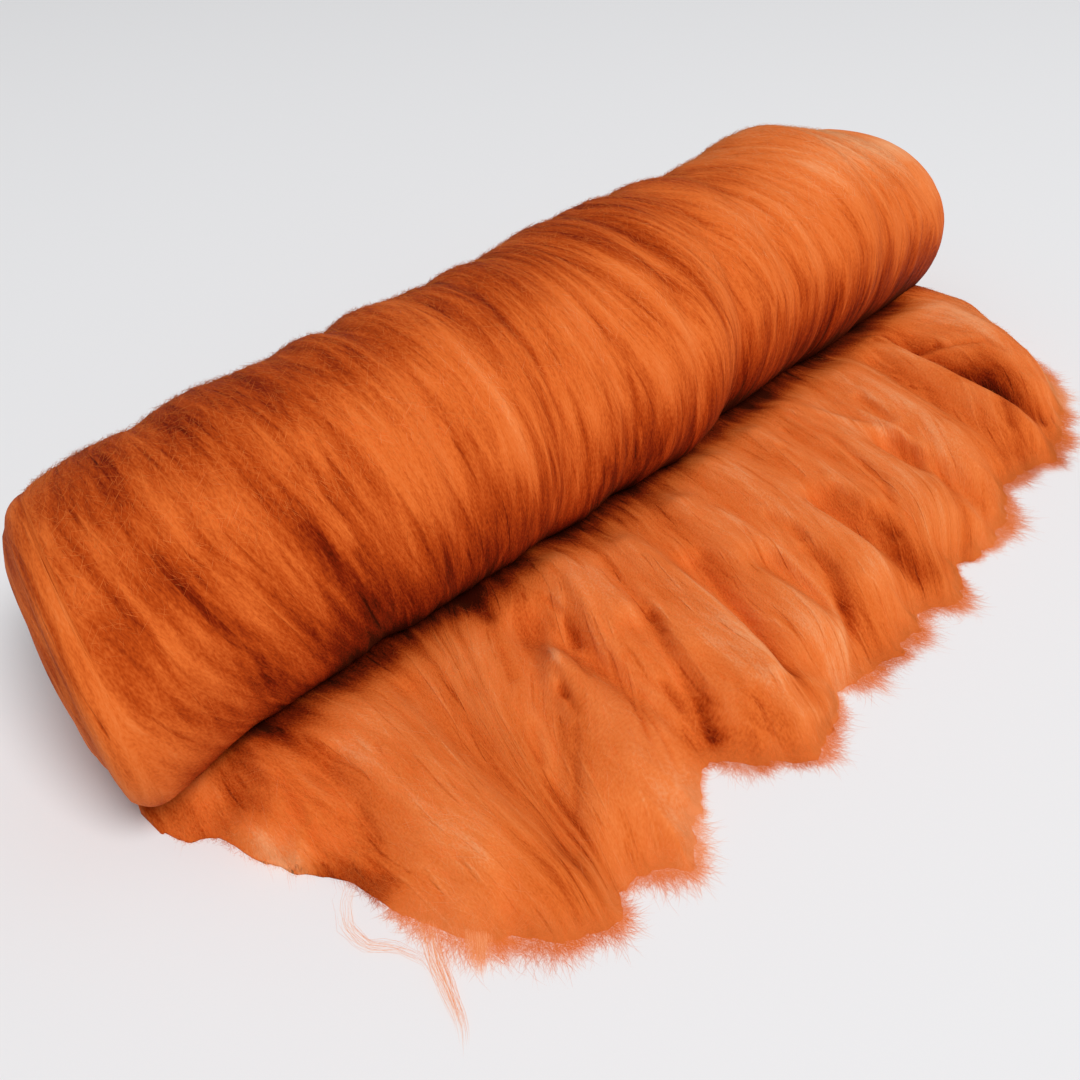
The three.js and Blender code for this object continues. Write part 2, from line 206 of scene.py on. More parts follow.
@dataclass(frozen=True)
class Mark:
    """A streak from one place to another: half its width, how far it stands up, and how much paler it is."""

    x1: float
    y1: float
    x2: float
    y2: float
    half: float
    rise: float
    tone: float = 0.0

    def strength(self, x: Array, y: Array) -> Array:
        """How strongly the mark is felt at each place, from 0 to 1.

        Args:
            x: Places along X.
            y: Places along Y, on the same scale as the mark's own.

        Returns:
            A bell curve of the distance from the mark's line.
        """
        away, _ = from_segment(x, y, (self.x1, self.y1), (self.x2, self.y2))
        return np.exp(-((away / self.half) ** 2))


def marked(*rows: tuple[float, ...]) -> tuple[Mark, ...]:
    """Turns rows of numbers into marks.

    Args:
        rows: Each mark's values, in their order.

    Returns:
        The marks.
    """
    return tuple(Mark(*row) for row in rows)


@dataclass(frozen=True)
class PaintedShading:
    """A broad band of painted light and shade: a change of tone, and where it comes in along X and across it.

    Each pair says where the change begins and where it is whole, and None means everywhere.
    """

    tone: float
    along: tuple[float, float] | None
    across: tuple[float, float] | None

    def at(self, x: Array, across: Array) -> Array:
        """How much the tone changes at each place.

        Args:
            x: Places along X.
            across: Angles round the roll, or places along Y.

        Returns:
            What is added to the tone.
        """
        total = np.full_like(x, self.tone, dtype=float)
        for value, reach in ((x, self.along), (across, self.across)):
            if reach is not None:
                total = total * smoothstep(value, *reach)
        return total


@dataclass
class StreakField:
    """Random relief drawn out along the fibres, which can be read at any place.

    across and along are the size of one streak, and the field repeats after width and length.
    """

    across: float
    along: float
    width: float
    length: float
    seed: int
    step: float = 0.5
    values: Array = field(init=False, repr=False)

    def __post_init__(self) -> None:
        """Draws the field by smoothing white noise, each way by its own amount."""
        columns = int(self.width / min(self.step, self.across / 2))
        rows = int(self.length / (self.along / 4))
        white = np.random.default_rng(self.seed).standard_normal((rows, columns))
        over, down = (
            np.exp(-2 * (math.pi * np.fft.fftfreq(count) * count * size / span / 2) ** 2)
            for count, size, span in ((columns, self.across, self.width), (rows, self.along, self.length)))
        smooth = np.fft.ifft2(np.fft.fft2(white) * down[:, None] * over[None, :]).real
        self.values = smooth / smooth.std()

    def at(self, u: Array, v: Array) -> Array:
        """Reads the field.

        Args:
            u: Places across the fibres.
            v: Places along them.

        Returns:
            Values with a spread of about one either side of zero.
        """
        rows, columns = self.values.shape
        return read_grid(self.values, np.mod(v / self.length, 1) * rows, np.mod(u / self.width, 1) * columns)


def add_node(tree: bpy.types.NodeTree, kind: str, inputs: dict[str | int, Any], **settings: Any) -> bpy.types.Node:
    """Adds a node to a material.

    Args:
        tree: The material's node tree.
        kind: The node's type.
        inputs: What each input gets: another node's output, or a plain value.
        settings: The node's other settings.

    Returns:
        The node.
    """
    node = tree.nodes.new(kind)
    for name, value in settings.items():
        setattr(node, name, value)
    for name, value in inputs.items():
        if isinstance(value, bpy.types.NodeSocket):
            tree.links.new(value, node.inputs[name])
        else:
            node.inputs[name].default_value = value
    return node


def new_material(name: str, values: dict[str, Any]) -> tuple[bpy.types.Material, bpy.types.Node]:
    """Starts a material.

    Args:
        name: Its name.
        values: The values of its surface shader's inputs.

    Returns:
        The material and its surface shader.
    """
    made = bpy.data.materials.new(name)
    made.use_nodes = True
    shader = made.node_tree.nodes["Principled BSDF"]
    for socket, value in values.items():
        shader.inputs[socket].default_value = value
    return made, shader


@dataclass(frozen=True)
class Streaks:
    """One layer of streaks: repeats over a metre across the fibres and along them, and how strongly it shows.

    above keeps only the layer's highest places, as sparse tapered slits between locks, and turned is the angle in
    degrees between the streaks and the combed direction.
    """

    across: float
    along: float
    share: float
    detail: float = 2.0
    relief: float = 0.0
    warp: float = 0.5
    turned: float = 0.0
    above: float | None = None
    ease: float = 0.16


@dataclass(frozen=True)
class WoolFinish:
    """Combed wool: streaks of colour and fine relief drawn out along the piece's own fibre map."""

    name: str
    shades: tuple[tuple[float, tuple[float, float, float]], ...]
    layers: tuple[Streaks, ...]
    bump: float = 0.0009
    bump_strength: float = 0.6
    roughness: float = 0.8
    specular: float = 0.12
    index: float = 1.45
    tint: tuple[float, float, float] = (1.0, 0.36, 0.1)
    sheen: float = 0.03
    sheen_roughness: float = 0.6
    sheen_tint: tuple[float, float, float] = (1.0, 0.42, 0.16)

    @staticmethod
    def _noise(tree: bpy.types.NodeTree, uv: bpy.types.NodeSocket, layer: Streaks) -> bpy.types.NodeSocket:
        """Adds a noise drawn out along the fibres.

        Args:
            tree: The material's node tree.
            uv: The socket that gives the fibre map.
            layer: The streaks that it makes.

        Returns:
            The noise's value, from 0 to 1.
        """
        place = add_node(tree, "ShaderNodeMapping", {
            "Vector": uv,
            "Scale": (1 / layer.across, 1 / layer.along, 1),
            "Rotation": (0, 0, math.radians(layer.turned)),
        }, vector_type="TEXTURE")
        noise = add_node(tree, "ShaderNodeTexNoise", {
            "Vector": place.outputs["Vector"],
            "Scale": 1,
            "Detail": layer.detail,
            "Roughness": 0.5,
            "Distortion": layer.warp,
        }, noise_dimensions="2D")
        if layer.above is None:
            return noise.outputs["Fac"]
        kept = add_node(tree, "ShaderNodeMapRange", {
            "Value": noise.outputs["Fac"],
            "From Min": layer.above,
            "From Max": layer.above + layer.ease,
        }, interpolation_type="SMOOTHSTEP")
        return kept.outputs["Result"]

    @staticmethod
    def _added(tree: bpy.types.NodeTree, value: bpy.types.NodeSocket, share: float, middle: float,
               base: bpy.types.NodeSocket | None) -> bpy.types.NodeSocket:
        """Adds a share of a noise to another value.

        Args:
            tree: The material's node tree.
            value: The noise.
            share: How strongly it is felt.
            middle: The noise's value that adds nothing.
            base: What it is added to, if anything.

        Returns:
            The sum.
        """
        inputs = {0: value, 1: share, 2: -share * middle}
        added = add_node(tree, "ShaderNodeMath", inputs, operation="MULTIPLY_ADD").outputs[0]
        if base is None:
            return added
        return add_node(tree, "ShaderNodeMath", {0: added, 1: base}, operation="ADD").outputs[0]

    def material(self) -> bpy.types.Material:
        """Builds the finish as a Blender material.

        Returns:
            The material.
        """
        made, shader = new_material(self.name, {
            "Roughness": self.roughness,
            "Specular IOR Level": self.specular,
            "Specular Tint": (*self.tint, 1),
            "IOR": self.index,
            "Sheen Weight": self.sheen,
            "Sheen Roughness": self.sheen_roughness,
            "Sheen Tint": (*self.sheen_tint, 1),
        })
        tree = made.node_tree
        uv = add_node(tree, "ShaderNodeUVMap", {}, uv_map=FIBRE_MAP).outputs["UV"]
        shade = add_node(tree, "ShaderNodeAttribute", {}, attribute_name=TONE).outputs["Fac"]
        height = None
        for layer in self.layers:
            noise = self._noise(tree, uv, layer)
            middle = 0.5 if layer.above is None else 0.0
            shade = self._added(tree, noise, layer.share, middle, shade)
            if layer.relief:
                height = self._added(tree, noise, layer.relief, middle, height)
        ramp = add_node(tree, "ShaderNodeValToRGB", {"Fac": shade})
        stops = ramp.color_ramp.elements
        while len(stops) < len(self.shades):
            stops.new(1.0)
        for stop, (at, colour) in zip(stops, self.shades):
            stop.position = at
            stop.color = (*colour, 1)
        tree.links.new(ramp.outputs["Color"], shader.inputs["Base Color"])
        if height is not None:
            relief = add_node(tree, "ShaderNodeBump", {
                "Strength": self.bump_strength,
                "Distance": self.bump,
                "Height": height,
            })
            tree.links.new(relief.outputs["Normal"], shader.inputs["Normal"])
        return made


WOOL = WoolFinish(
    name="combed_wool",
    shades=(
        (0.0, (0.040, 0.0018, 0.0004)),
        (0.16, (0.20, 0.014, 0.0018)),
        (0.32, (0.44, 0.058, 0.006)),
        (0.5, (0.69, 0.138, 0.023)),
        (0.7, (0.79, 0.20, 0.048)),
        (1.0, (0.87, 0.39, 0.18)),
    ),
    layers=(
        Streaks(120, 15, 0.26, 2.0, 0.6, 0.6),
        Streaks(300, 24, 0.20, 2.0, 0.5, 0.5, 8),
        Streaks(340, 28, 0.16, 1.0, 0.5, 0.5, -9),
        Streaks(1400, 420, 0.20, 1.0, 0.35, 0.0),
        # The last two layers keep sparse places: slits between locks, sunk and painted darker as shade, and
        # strands, raised and paler.
        Streaks(260, 20, -0.09, 1.0, -0.6, 0.4, 3, 0.63),
        Streaks(230, 15, 0.08, 1.0, 0.5, 0.4, 5, 0.64),
    ),
)
SPREAD_WOOL = WoolFinish(
    name="spread_wool",
    shades=WOOL.shades,
    layers=(
        Streaks(95, 22, 0.22, 2.0, 0.5, 0.8),
        Streaks(250, 36, 0.17, 2.0, 0.5, 0.6, 9),
        Streaks(380, 60, 0.13, 1.0, 0.5, 0.6, -13),
        Streaks(1400, 700, 0.22, 1.0, 0.4, 0.0),
        # The last two layers keep sparse places: slits between locks, sunk and painted darker as shade, and
        # strands, raised and paler.
        Streaks(260, 30, -0.12, 1.0, -0.6, 0.5, 4, 0.64),
        Streaks(230, 24, 0.09, 1.0, 0.5, 0.5, 7, 0.64),
    ),
)
EDGE_WOOL = WoolFinish(
    name="thin_edge_wool",
    shades=(
        (0.0, (0.30, 0.035, 0.004)),
        (0.5, (0.72, 0.18, 0.038)),
        (1.0, (0.88, 0.47, 0.24)),
    ),
    layers=(Streaks(170, 60, 0.15),),
)


@dataclass(frozen=True)
class FloorFinish:
    """A plain pale matt surface."""

    name: str = "pale_surface"
    colour: tuple[float, float, float] = (0.84, 0.84, 0.85)
    roughness: float = 0.85
    specular: float = 0.2

    def material(self) -> bpy.types.Material:
        """Builds the finish as a Blender material.

        Returns:
            The material.
        """
        return new_material(self.name, {
            "Base Color": (*self.colour, 1),
            "Roughness": self.roughness,
            "Specular IOR Level": self.specular,
        })[0]


@dataclass
class MeshCraft:
    """Turns arrays of points and triangles into a finished piece of the object."""

    name: str
    material: bpy.types.Material
    slot: Slot
    replaces: tuple[str, ...] = ()
    fill: float | None = None
    shades_others: bool = True

    def build(self, points: Array, triangles: Array, tones: Array, uvs: Array,
              normals: Array | None = None, upward: Array | None = None) -> bpy.types.Object:
        """Makes the mesh, dresses it and ties it to the frame.

        Args:
            points: Places in millimetres, one a row.
            triangles: Three point numbers a row, seen anticlockwise from outside.
            tones: How pale the wool is at each point, with its painted light and shade.
            uvs: The fibre map in metres, one row for each corner of each triangle.
            normals: Which way the wool faces at each point, where the mesh's own way isn't used.
            upward: How far each point's own way is turned to straight up, where the wool is thin.

        Returns:
            The finished object.
        """
        mesh = bpy.data.meshes.new(self.name)
        mesh.vertices.add(len(points))
        mesh.vertices.foreach_set("co", (points / METRE).astype(np.float32).ravel())
        mesh.loops.add(triangles.size)
        mesh.loops.foreach_set("vertex_index", triangles.astype(np.int32).ravel())
        mesh.polygons.add(len(triangles))
        mesh.polygons.foreach_set("loop_start", np.arange(0, triangles.size, 3, dtype=np.int32))
        mesh.update(calc_edges=True)
        mesh.polygons.foreach_set("use_smooth", np.ones(len(triangles), dtype=bool))
        mesh.uv_layers.new(name=FIBRE_MAP).data.foreach_set("uv", uvs.astype(np.float32).ravel())
        mesh.attributes.new(TONE, "FLOAT", "POINT").data.foreach_set("value", tones.astype(np.float32).ravel())
        mesh.validate()
        if upward is not None:
            normals = np.empty(3 * len(points), dtype=np.float32)
            mesh.vertex_normals.foreach_get("vector", normals)
            share = upward[:, None]
            normals = unit(normals.reshape(-1, 3) * (1 - share) + np.array([0.0, 0.0, 1.0]) * share)
        if normals is not None:
            mesh.normals_split_custom_set_from_vertices(normals.tolist())
        piece = bpy.data.objects.new(self.name, mesh)
        piece.visible_shadow = self.shades_others
        bpy.context.scene.collection.objects.link(piece)
        mesh.materials.append(self.material)
        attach(piece, BODY)
        if self.replaces:
            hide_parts(*self.replaces)
        low, high = points.min(axis=0), points.max(axis=0)
        LOG.info("%s: %d triangles, %s to %s mm", self.name, len(triangles), low.round(1), high.round(1))
        return piece


def grid_triangles(rows: int, columns: int, wrap: bool) -> Array:
    """Joins a grid of points into triangles.

    Args:
        rows: Points one way.
        columns: Points the other way.
        wrap: Whether the last column joins the first.

    Returns:
        Triangles as rows of three numbers, where a point's number is row * columns + column.
    """
    r = np.arange(rows - 1)[:, None]
    c = np.arange(columns if wrap else columns - 1)[None, :]
    a, b = r * columns + c, r * columns + (c + 1) % columns
    d, e = a + columns, b + columns
    return np.stack([np.stack([a, e, b], -1), np.stack([a, d, e], -1)], -2).reshape(-1, 3)


@dataclass
class WoundRoll:
    """The roll: an oval wound body with a flat spot below, soft bands round it, and layered ends.

    Places are given by X before the skew and by degrees from straight down towards the front. streaks holds the
    size across and along the fibres of the fine, broad, swaying, shading, slit and cloud fields. The near end's
    bands hold the tone, middle, half width and fading power of painted shade across the lit middle of its face
    and painted light lower down on it.
    """

    fibre_skew: float = 0.155
    sink: float = 3.0
    oval_power: float = 2.05
    band_fade: float = 0.7
    end_reach: float = 70.0
    layer_pitch: float = 21.0
    layer_groove: float = 3.5
    layer_ripple: float = 0.8
    layer_ripples: int = 3
    layer_fine: float = 0.35
    layer_groove_painted_shade: float = 0.1
    layer_fine_tone: float = 0.04
    end_stretch: float = 2.2
    end_from: float = 60.0
    rim_from: float = 0.55
    rim_fade: float = 1.7
    middle_fade: float = 4.0
    girth_per_degree: float = 1.26
    stations: int = 500
    near_rings: int = 24
    far_rings: int = 30
    sides: int = 100
    field_width: float = 640.0
    sway_by: float = 3.0
    fine_relief: float = 0.08
    broad_relief: float = 0.28
    slit_from: float = 1.2
    slit_depth: float = 0.6
    strand_rise: float = 0.5
    slit_painted_shade: float = 0.06
    strand_tone: float = 0.05
    middle_tone: float = 0.488
    shade_tone: float = 0.03
    broad_tone: float = 0.035
    cloud_tone: float = 0.025
    end_tone: float = 0.5
    end_shade: float = 0.08
    hidden_tone: float = 0.4
    mark_tone_and_painted_shading: float = 0.5
    mark_relief: float = 0.75
    facing_step: float = 4.0
    facing_turn: float = 3.0
    streaks: tuple[tuple[float, float], ...] = ((2.2, 46), (11, 90), (60, 80), (5, 60), (3.4, 38), (34, 46))
    near_fade: tuple[float, float] = (-175, -285)
    near_painted_shading: tuple[tuple[float, float, float, int], ...] = ((-0.08, 138, 12, 1), (0.17, 94, 24, 4))
    # Broad painted light and shade over the roll: the lower front darker where it faces down and away from the
    # light, less so near the near end; painted crease shade low by the foot, less near the near end; the top darker
    # where it faces away from the light, except at the near end; the near half darker, most on the middle of its
    # face; and painted light on the upper face of the far half, most at the far end, where its thin outer layer is
    # lit.
    shades: tuple[PaintedShading, ...] = (
        PaintedShading(-0.32, None, (124, 62)), PaintedShading(0.288, (-175, -285), (124, 62)),
        PaintedShading(-0.36, None, (74, 42)), PaintedShading(0.198, (-175, -285), (74, 42)),
        PaintedShading(-0.17, (-330, -230), (146, 186)), PaintedShading(-0.072, (-90, -260), None),
        PaintedShading(-0.084, (-90, -260), (68, 100)), PaintedShading(0.096, (-90, -260), (118, 158)),
        PaintedShading(0.052, (20, 200), (90, 120)), PaintedShading(0.26, (130, 245), (125, 165)),
    )
    sections: tuple[Section, ...] = (
        Section(-300, 119, 80, 72), Section(-260, 128, 74, 75), Section(-204, 132, 73, 77),
        Section(-140, 135, 77, 78), Section(-63, 136, 80, 79), Section(0, 138, 83, 80),
        Section(28, 141, 86, 80), Section(60, 143, 85, 80), Section(88, 141, 75, 80),
        Section(150, 138, 77, 81), Section(236, 143, 79, 83), Section(270, 137, 79, 83),
        Section(320, 122, 74, 76),
    )
    bands: tuple[Band, ...] = (
        Band(-276, 20, 2, 200, 4), Band(-243, 9, -2.2, 150, 8), Band(-206, 22, 2.4, 190, -6),
        Band(-171, 10, -1.6, 90, 10), Band(-148, 13, 1.8, 110, 4), Band(-139, 8, -2.6, 205, 12),
        Band(-104, 18, 2.4, 170, -8), Band(-66, 9, -2, 150, 10), Band(-38, 15, 1.8, 100, 6),
        Band(-20, 8, -2.4, 190, -6), Band(12, 13, 2, 200, 10), Band(34, 8, -2, 160, 8),
        Band(44, 16, 3, 60, 10), Band(84, 10, -2.6, 80, 12), Band(108, 20, 1.8, 190, 6),
        Band(146, 9, -2.4, 200, -8), Band(178, 12, -1.6, 110, 4), Band(214, 20, 2.6, 170, 8),
        Band(240, 8, -1.8, 120, 10), Band(268, 14, -1.8, 190, 6),
    )
    ends: tuple[RollEnd, RollEnd] = (
        RollEnd(-1, -290, 18, 0.36, -4, 0.14, -0.12),
        RollEnd(1, 310, 54, 0.66, 5, -0.2, -0.09),
    )
    drift_angles: tuple[float, ...] = (0, 45, 75, 110, 140, 165, 200, 260, 320, 360)
    drifts: tuple[tuple[float, tuple[float, ...]], ...] = (
        (-310, (11, 22, 12, 0, -5, -9, -12, -6, 2, 11)),
        (-285, (11, 22, 12, 0, -5, -9, -12, -6, 2, 11)),
        (-240, (14, 28, 16, 0, -12, -16, -20, -10, 2, 14)),
        (-200, (11, 22, 14, 0, -9, -14, -18, -9, 2, 11)),
        (-150, (7, 14, 8, 0, -6, -10, -14, -7, 1, 7)),
        (-100, (6, 12, 6, 0, -3, -5, -7, -3, 1, 6)),
        (-60, (0, 0, -2, 0, 3, 5, 8, 4, 0, 0)),
        (-20, (2, 4, 0, 0, -2, -3, -4, -2, 0, 2)),
        (10, (0, 0, 1, 0, -9, -16, -25, -12, -2, 0)),
        (60, (1, 2, 2, 0, -12, -22, -34, -17, -3, 1)),
        (115, (0, 0, 1, 0, -14, -31, -50, -25, -5, 0)),
        (160, (0, 0, 0, 0, -9, -20, -36, -18, -3, 0)),
        (215, (-1, -2, -1, 0, -11, -24, -40, -20, -4, -1)),
        (265, (-4, -8, -4, 0, -8, -20, -34, -17, -4, -4)),
        (290, (-10, -20, -10, 0, -10, -28, -50, -25, -8, -10)),
        (330, (-7, -14, -8, 0, -12, -30, -50, -25, -6, -7)),
    )
    marks: tuple[Mark, ...] = marked(
        (-262, 150, -250, 100, 1.5, -0.8, -0.12), (-285, 140, -270, 90, 1.5, -0.8, -0.1),
        (-230, 115, -215, 80, 2, -1, -0.12), (-207, 130, -200, 105, 2.5, -1.2, -0.15),
        (-190, 112, -184, 88, 4, -1.2, -0.15), (-172, 197, -170, 170, 9, 0, -0.1),
        (-150, 100, -146, 80, 3, -1, -0.1), (-118, 130, -114, 92, 2, -1.2, -0.15),
        (-128, 150, -122, 125, 1.5, -0.8, -0.1), (-62, 165, -61, 105, 1.6, -1.5, -0.15),
        (-48, 150, -46, 118, 2, -1.2, -0.12), (-40, 130, -38, 108, 1.5, -0.8, -0.1),
        (-15, 118, -14, 98, 2.5, -1, -0.14), (-18, 150, -10, 125, 2, -0.8, -0.1),
        (12, 150, 22, 125, 1.5, -0.8, -0.1), (42, 165, 64, 116, 2, -1.6, -0.2), (30, 140, 46, 120, 1.5, -1, -0.15),
        (60, 160, 85, 120, 1.6, -1, -0.12), (75, 160, 98, 120, 1.6, -1, -0.12), (92, 165, 118, 112, 2, -1.6, -0.18),
        (100, 118, 102, 100, 1.5, -0.8, -0.1), (124, 110, 122, 99, 3, -1.5, -0.2),
        (146, 158, 156, 130, 1.8, -1.4, -0.18), (178, 150, 196, 112, 1.5, -1, -0.14),
        (195, 168, 215, 112, 2, -1.4, -0.16), (185, 165, 200, 130, 1.5, -1, -0.12),
        (240, 150, 252, 115, 1.5, -0.8, -0.1), (253, 150, 262, 125, 2, -1, -0.12),
        (275, 125, 280, 100, 2.5, -0.8, -0.1), (-238, 148, -214, 90, 5, 0.8, 0.1),
        (-290, 150, -288, 60, 6, 0.5, 0.12), (-197, 140, -190, 118, 5, 0.6, 0.08),
        (-150, 160, -140, 112, 8, 0.8, 0.08), (-100, 170, -90, 95, 12, 0.8, 0.08),
        (-70, 195, -64, 130, 6, 0.6, 0.1), (-35, 150, -25, 110, 8, 0.6, 0.06), (8, 115, 12, 72, 5, 0.8, 0.14),
        (20, 150, 30, 120, 8, 0.5, 0.06), (108, 155, 128, 108, 8, 0.8, 0.08), (138, 160, 152, 128, 6, 0.8, 0.08),
        (160, 165, 180, 120, 10, 0.6, 0.08), (225, 150, 235, 100, 10, 0.5, 0.05),
        (268, 155, 292, 115, 3, 1.2, 0.16), (292, 115, 285, 82, 3, 1.2, 0.16), (245, 215, 315, 170, 30, 0, 0.10),
        (-94, 205, -76, 172, 12, 0, 0.16), (-42, 138, -32, 108, 7, 0, -0.14), (146, 138, 156, 108, 8, 0, -0.24),
        (-264, 122, -256, 104, 7, 0, 0.06), (270, 118, 262, 90, 8, 0, 0.10), (-86, 94, -76, 66, 10, 0, -0.14),
    )

    def __post_init__(self) -> None:
        """Draws the random fields and puts the marks on the roll's girth."""
        scale = self.girth_per_degree
        self.fine, self.broad, self.sway, self.shade, self.slits, self.cloud = (
            StreakField(across, along, self.field_width, 360 * scale, SEED + 1 + number)
            for number, (across, along) in enumerate(self.streaks))
        self.placed = [replace(mark, y1=mark.y1 * scale, y2=mark.y2 * scale) for mark in self.marks]

    def from_ends(self, x: Array, skew: bool) -> Array:
        """What the ends add to a place along the roll.

        Args:
            x: Places along the roll before its skew.
            skew: True for the ends' skew, False for their lean.

        Returns:
            The ends' share at each place.
        """
        total = np.zeros_like(x, dtype=float)
        for end in self.ends:
            near = np.clip(1 - np.abs(x - end.at) / self.end_reach, 0, 1)
            total += (end.skew if skew else end.lean) * near * near
        return total

    def drift(self, x: Array, degrees: Array) -> Array:
        """How far a fibre has moved along X since it passed the middle of the roll's face.

        Args:
            x: The fibre's place there.
            degrees: The angle round the roll, from straight down towards the front.

        Returns:
            The drift at each place.
        """
        rows = np.array([row[0] for row in self.drifts], float)
        turned = np.mod(degrees, 360)
        each = np.stack([np.interp(turned, self.drift_angles, row[1]) for row in self.drifts])
        at = np.clip(np.interp(x, rows, np.arange(len(rows))), 0, len(rows) - LAST_CELL)
        low = at.astype(int)
        share = at - low
        flat = each.reshape(len(rows), -1)
        picks = np.arange(flat.shape[1])
        values = flat[low.ravel(), picks] * (1 - share.ravel()) + flat[low.ravel() + 1, picks] * share.ravel()
        return values.reshape(x.shape)

    def fibre_at(self, x: Array, degrees: Array) -> Array:
        """Which fibre passes through a place: its own X on the middle of the roll's face.

        Args:
            x: Places along the roll before its skew.
            degrees: Angles round it.

        Returns:
            The fibre's X, swaying a little from its neighbours'.
        """
        first = x - self.drift(x, degrees)
        sway = self.sway_by * self.sway.at(x, degrees * self.girth_per_degree)
        return x - self.drift(first, degrees) + sway

    def relief(self, x: Array, degrees: Array) -> Array:
        """How far the combed surface stands out of the wound form.

        Args:
            x: Places along the roll before its skew.
            degrees: Angles round it.

        Returns:
            Heights in millimetres.
        """
        u, v = self.fibre_at(x, degrees), np.mod(degrees, 360) * self.girth_per_degree
        total = self.fine_relief * self.fine.at(u, v) + self.broad_relief * self.broad.at(u, v)
        total += strands(self.slits.at(u, v), self.slit_from, self.strand_rise, self.slit_depth)
        for mark in self.placed:
            total += self.mark_relief * mark.rise * mark.strength(x, v)
        return total

    def tone(self, x: Array, degrees: Array) -> Array:
        """How pale the wool is at a place, with broad painted light and shade and the marks' painted shading.

        Args:
            x: Places along the roll before its skew.
            degrees: Angles round it.

        Returns:
            Tones, about 0.5 for the wool's middle colour.
        """
        turned = np.mod(degrees, 360)
        u, v = self.fibre_at(x, degrees), turned * self.girth_per_degree
        total = self.middle_tone + self.shade_tone * self.shade.at(u, v) + self.broad_tone * self.broad.at(u, v)
        total += self.cloud_tone * self.cloud.at(x, v)
        # Slits between locks are painted darker as shade; strands are paler.
        total += strands(self.slits.at(u, v), self.slit_from, self.strand_tone, self.slit_painted_shade)
        # Sunk marks are painted darker as shade and raised ones paler as painted light; flat ones only change the
        # tone.
        for mark in self.placed:
            total += self.mark_tone_and_painted_shading * mark.tone * mark.strength(x, v)
        # Broad painted light and shade over the roll.
        for shade in self.shades:
            total += shade.at(x, turned)
        # Near the near end: painted shade across the lit middle of the face and painted light lower down on it.
        near = smoothstep(x, *self.near_fade)
        for change, middle, half, power in self.near_painted_shading:
            total += change * near ** power * np.exp(-((turned - middle) / half) ** 2)
        return total

    def place(self, x: Array, degrees: Array, share: Array, raised: Array) -> Array:
        """A point of the roll.

        Args:
            x: Places along the roll before its skew.
            degrees: Angles round it.
            share: The share of the radius, 1 on the side of the roll.
            raised: How far to stand off the wound form.

        Returns:
            Points in millimetres.
        """
        angle = np.radians(degrees)
        sine, cosine = np.sin(angle), np.cos(angle)
        at, *sizes = zip(*(astuple(section) for section in self.sections))
        height, front, back = (np.interp(x, at, size) for size in sizes)
        half = (height + self.sink) / 2
        along = np.sign(sine) * np.abs(sine) ** (2 / self.oval_power)
        up = -np.sign(cosine) * np.abs(cosine) ** (2 / self.oval_power)
        swell = np.zeros_like(angle)
        for band in self.bands:
            off = (x - band.at + band.lean * cosine) / band.half
            away = (1 - np.cos(angle - math.radians(band.peak))) / 2
            swell += band.rise * (1 - self.band_fade * away) * np.exp(-off * off)
        swell = share * swell + raised
        y = -along * (np.where(sine > 0, front, back) * share + swell)
        middle = half - self.sink
        z = np.maximum(middle + up * (half * share + swell), 0)
        skew = self.fibre_skew + self.from_ends(x, True)
        return np.stack([x + skew * y + self.from_ends(x, False) * (z - middle), y, z], -1)

    def facing(self, x: Array, degrees: Array) -> Array:
        """Which way the side of the roll faces.

        Args:
            x: Places along the roll before its skew.
            degrees: Angles round it.

        Returns:
            Directions of length one.
        """
        whole, flat = np.ones_like(x), np.zeros_like(x)
        step, turn = self.facing_step, self.facing_turn
        along = self.place(x + step, degrees, whole, flat) - self.place(x - step, degrees, whole, flat)
        round_it = self.place(x, degrees + turn, whole, flat) - self.place(x, degrees - turn, whole, flat)
        return unit(np.cross(along, round_it))

    def end_profile(self, end: RollEnd, rings: int) -> tuple[Array, Array]:
        """The rings over one end, from its rim to its middle.

        Args:
            end: Which end.
            rings: How many rings.

        Returns:
            Each ring's share of the radius, and how far it stands past the last section.
        """
        half = rings // 2
        rim = 1 - end.share * (1 - np.cos(np.linspace(0, math.pi / 2, half + 1)[1:]))
        share = np.concatenate([rim, np.linspace(rim[-1], 0, rings - half + 2)[1:-1]])
        inward = np.maximum(0, (share - (1 - end.share)) / end.share)
        return share, end.rounding * np.sqrt(1 - inward * inward) + end.dome * (1 - share * share)

    def end_rings(self, end: RollEnd, rings: int) -> tuple[Array, Array, Array]:
        """The points over one end of the roll, with the layers of the winding showing.

        Args:
            end: Which end.
            rings: How many rings.

        Returns:
            Points ring by ring from the rim inwards, their tones, and how far each ring is from the rim.
        """
        share, stand = self.end_profile(end, rings)
        degrees = np.arange(self.sides) * 360 / self.sides
        s, d = np.meshgrid(share, degrees, indexing="ij")
        radius = np.interp(end.at, [q.at for q in self.sections], [q.height for q in self.sections]) / 2
        turn = s * radius / self.layer_pitch - np.radians(d) / (2 * math.pi)
        fade = np.minimum(1, np.minimum((1 - s) * self.rim_fade, s * self.middle_fade))
        wave = np.cos(turn * 2 * math.pi)
        fine = self.fine.at(s * radius * self.end_stretch + self.end_from, d * self.girth_per_degree)
        ripple = self.layer_ripple * np.cos(turn * self.layer_ripples * 2 * math.pi + 1)
        groove = fade * (self.layer_groove * wave + self.layer_fine * fine + ripple)
        at = np.full_like(s, end.at)
        points = self.place(at, d, s, self.relief(at, d) * s)
        points[..., 0] += end.side * (stand[:, None] - groove)
        middle = self.end_tone - (self.end_shade if end.side < 0 else 0.0)
        tones = middle + (self.tone(at, d) - middle) * smoothstep(s, self.rim_from, 1.0)
        # The grooves between the wound layers are painted darker as shade.
        tones += self.layer_fine_tone * fine - self.layer_groove_painted_shade * fade * wave
        walked = np.cumsum(np.hypot(np.diff(share, prepend=1.0) * radius, np.diff(stand, prepend=0.0)))
        return points, tones, walked

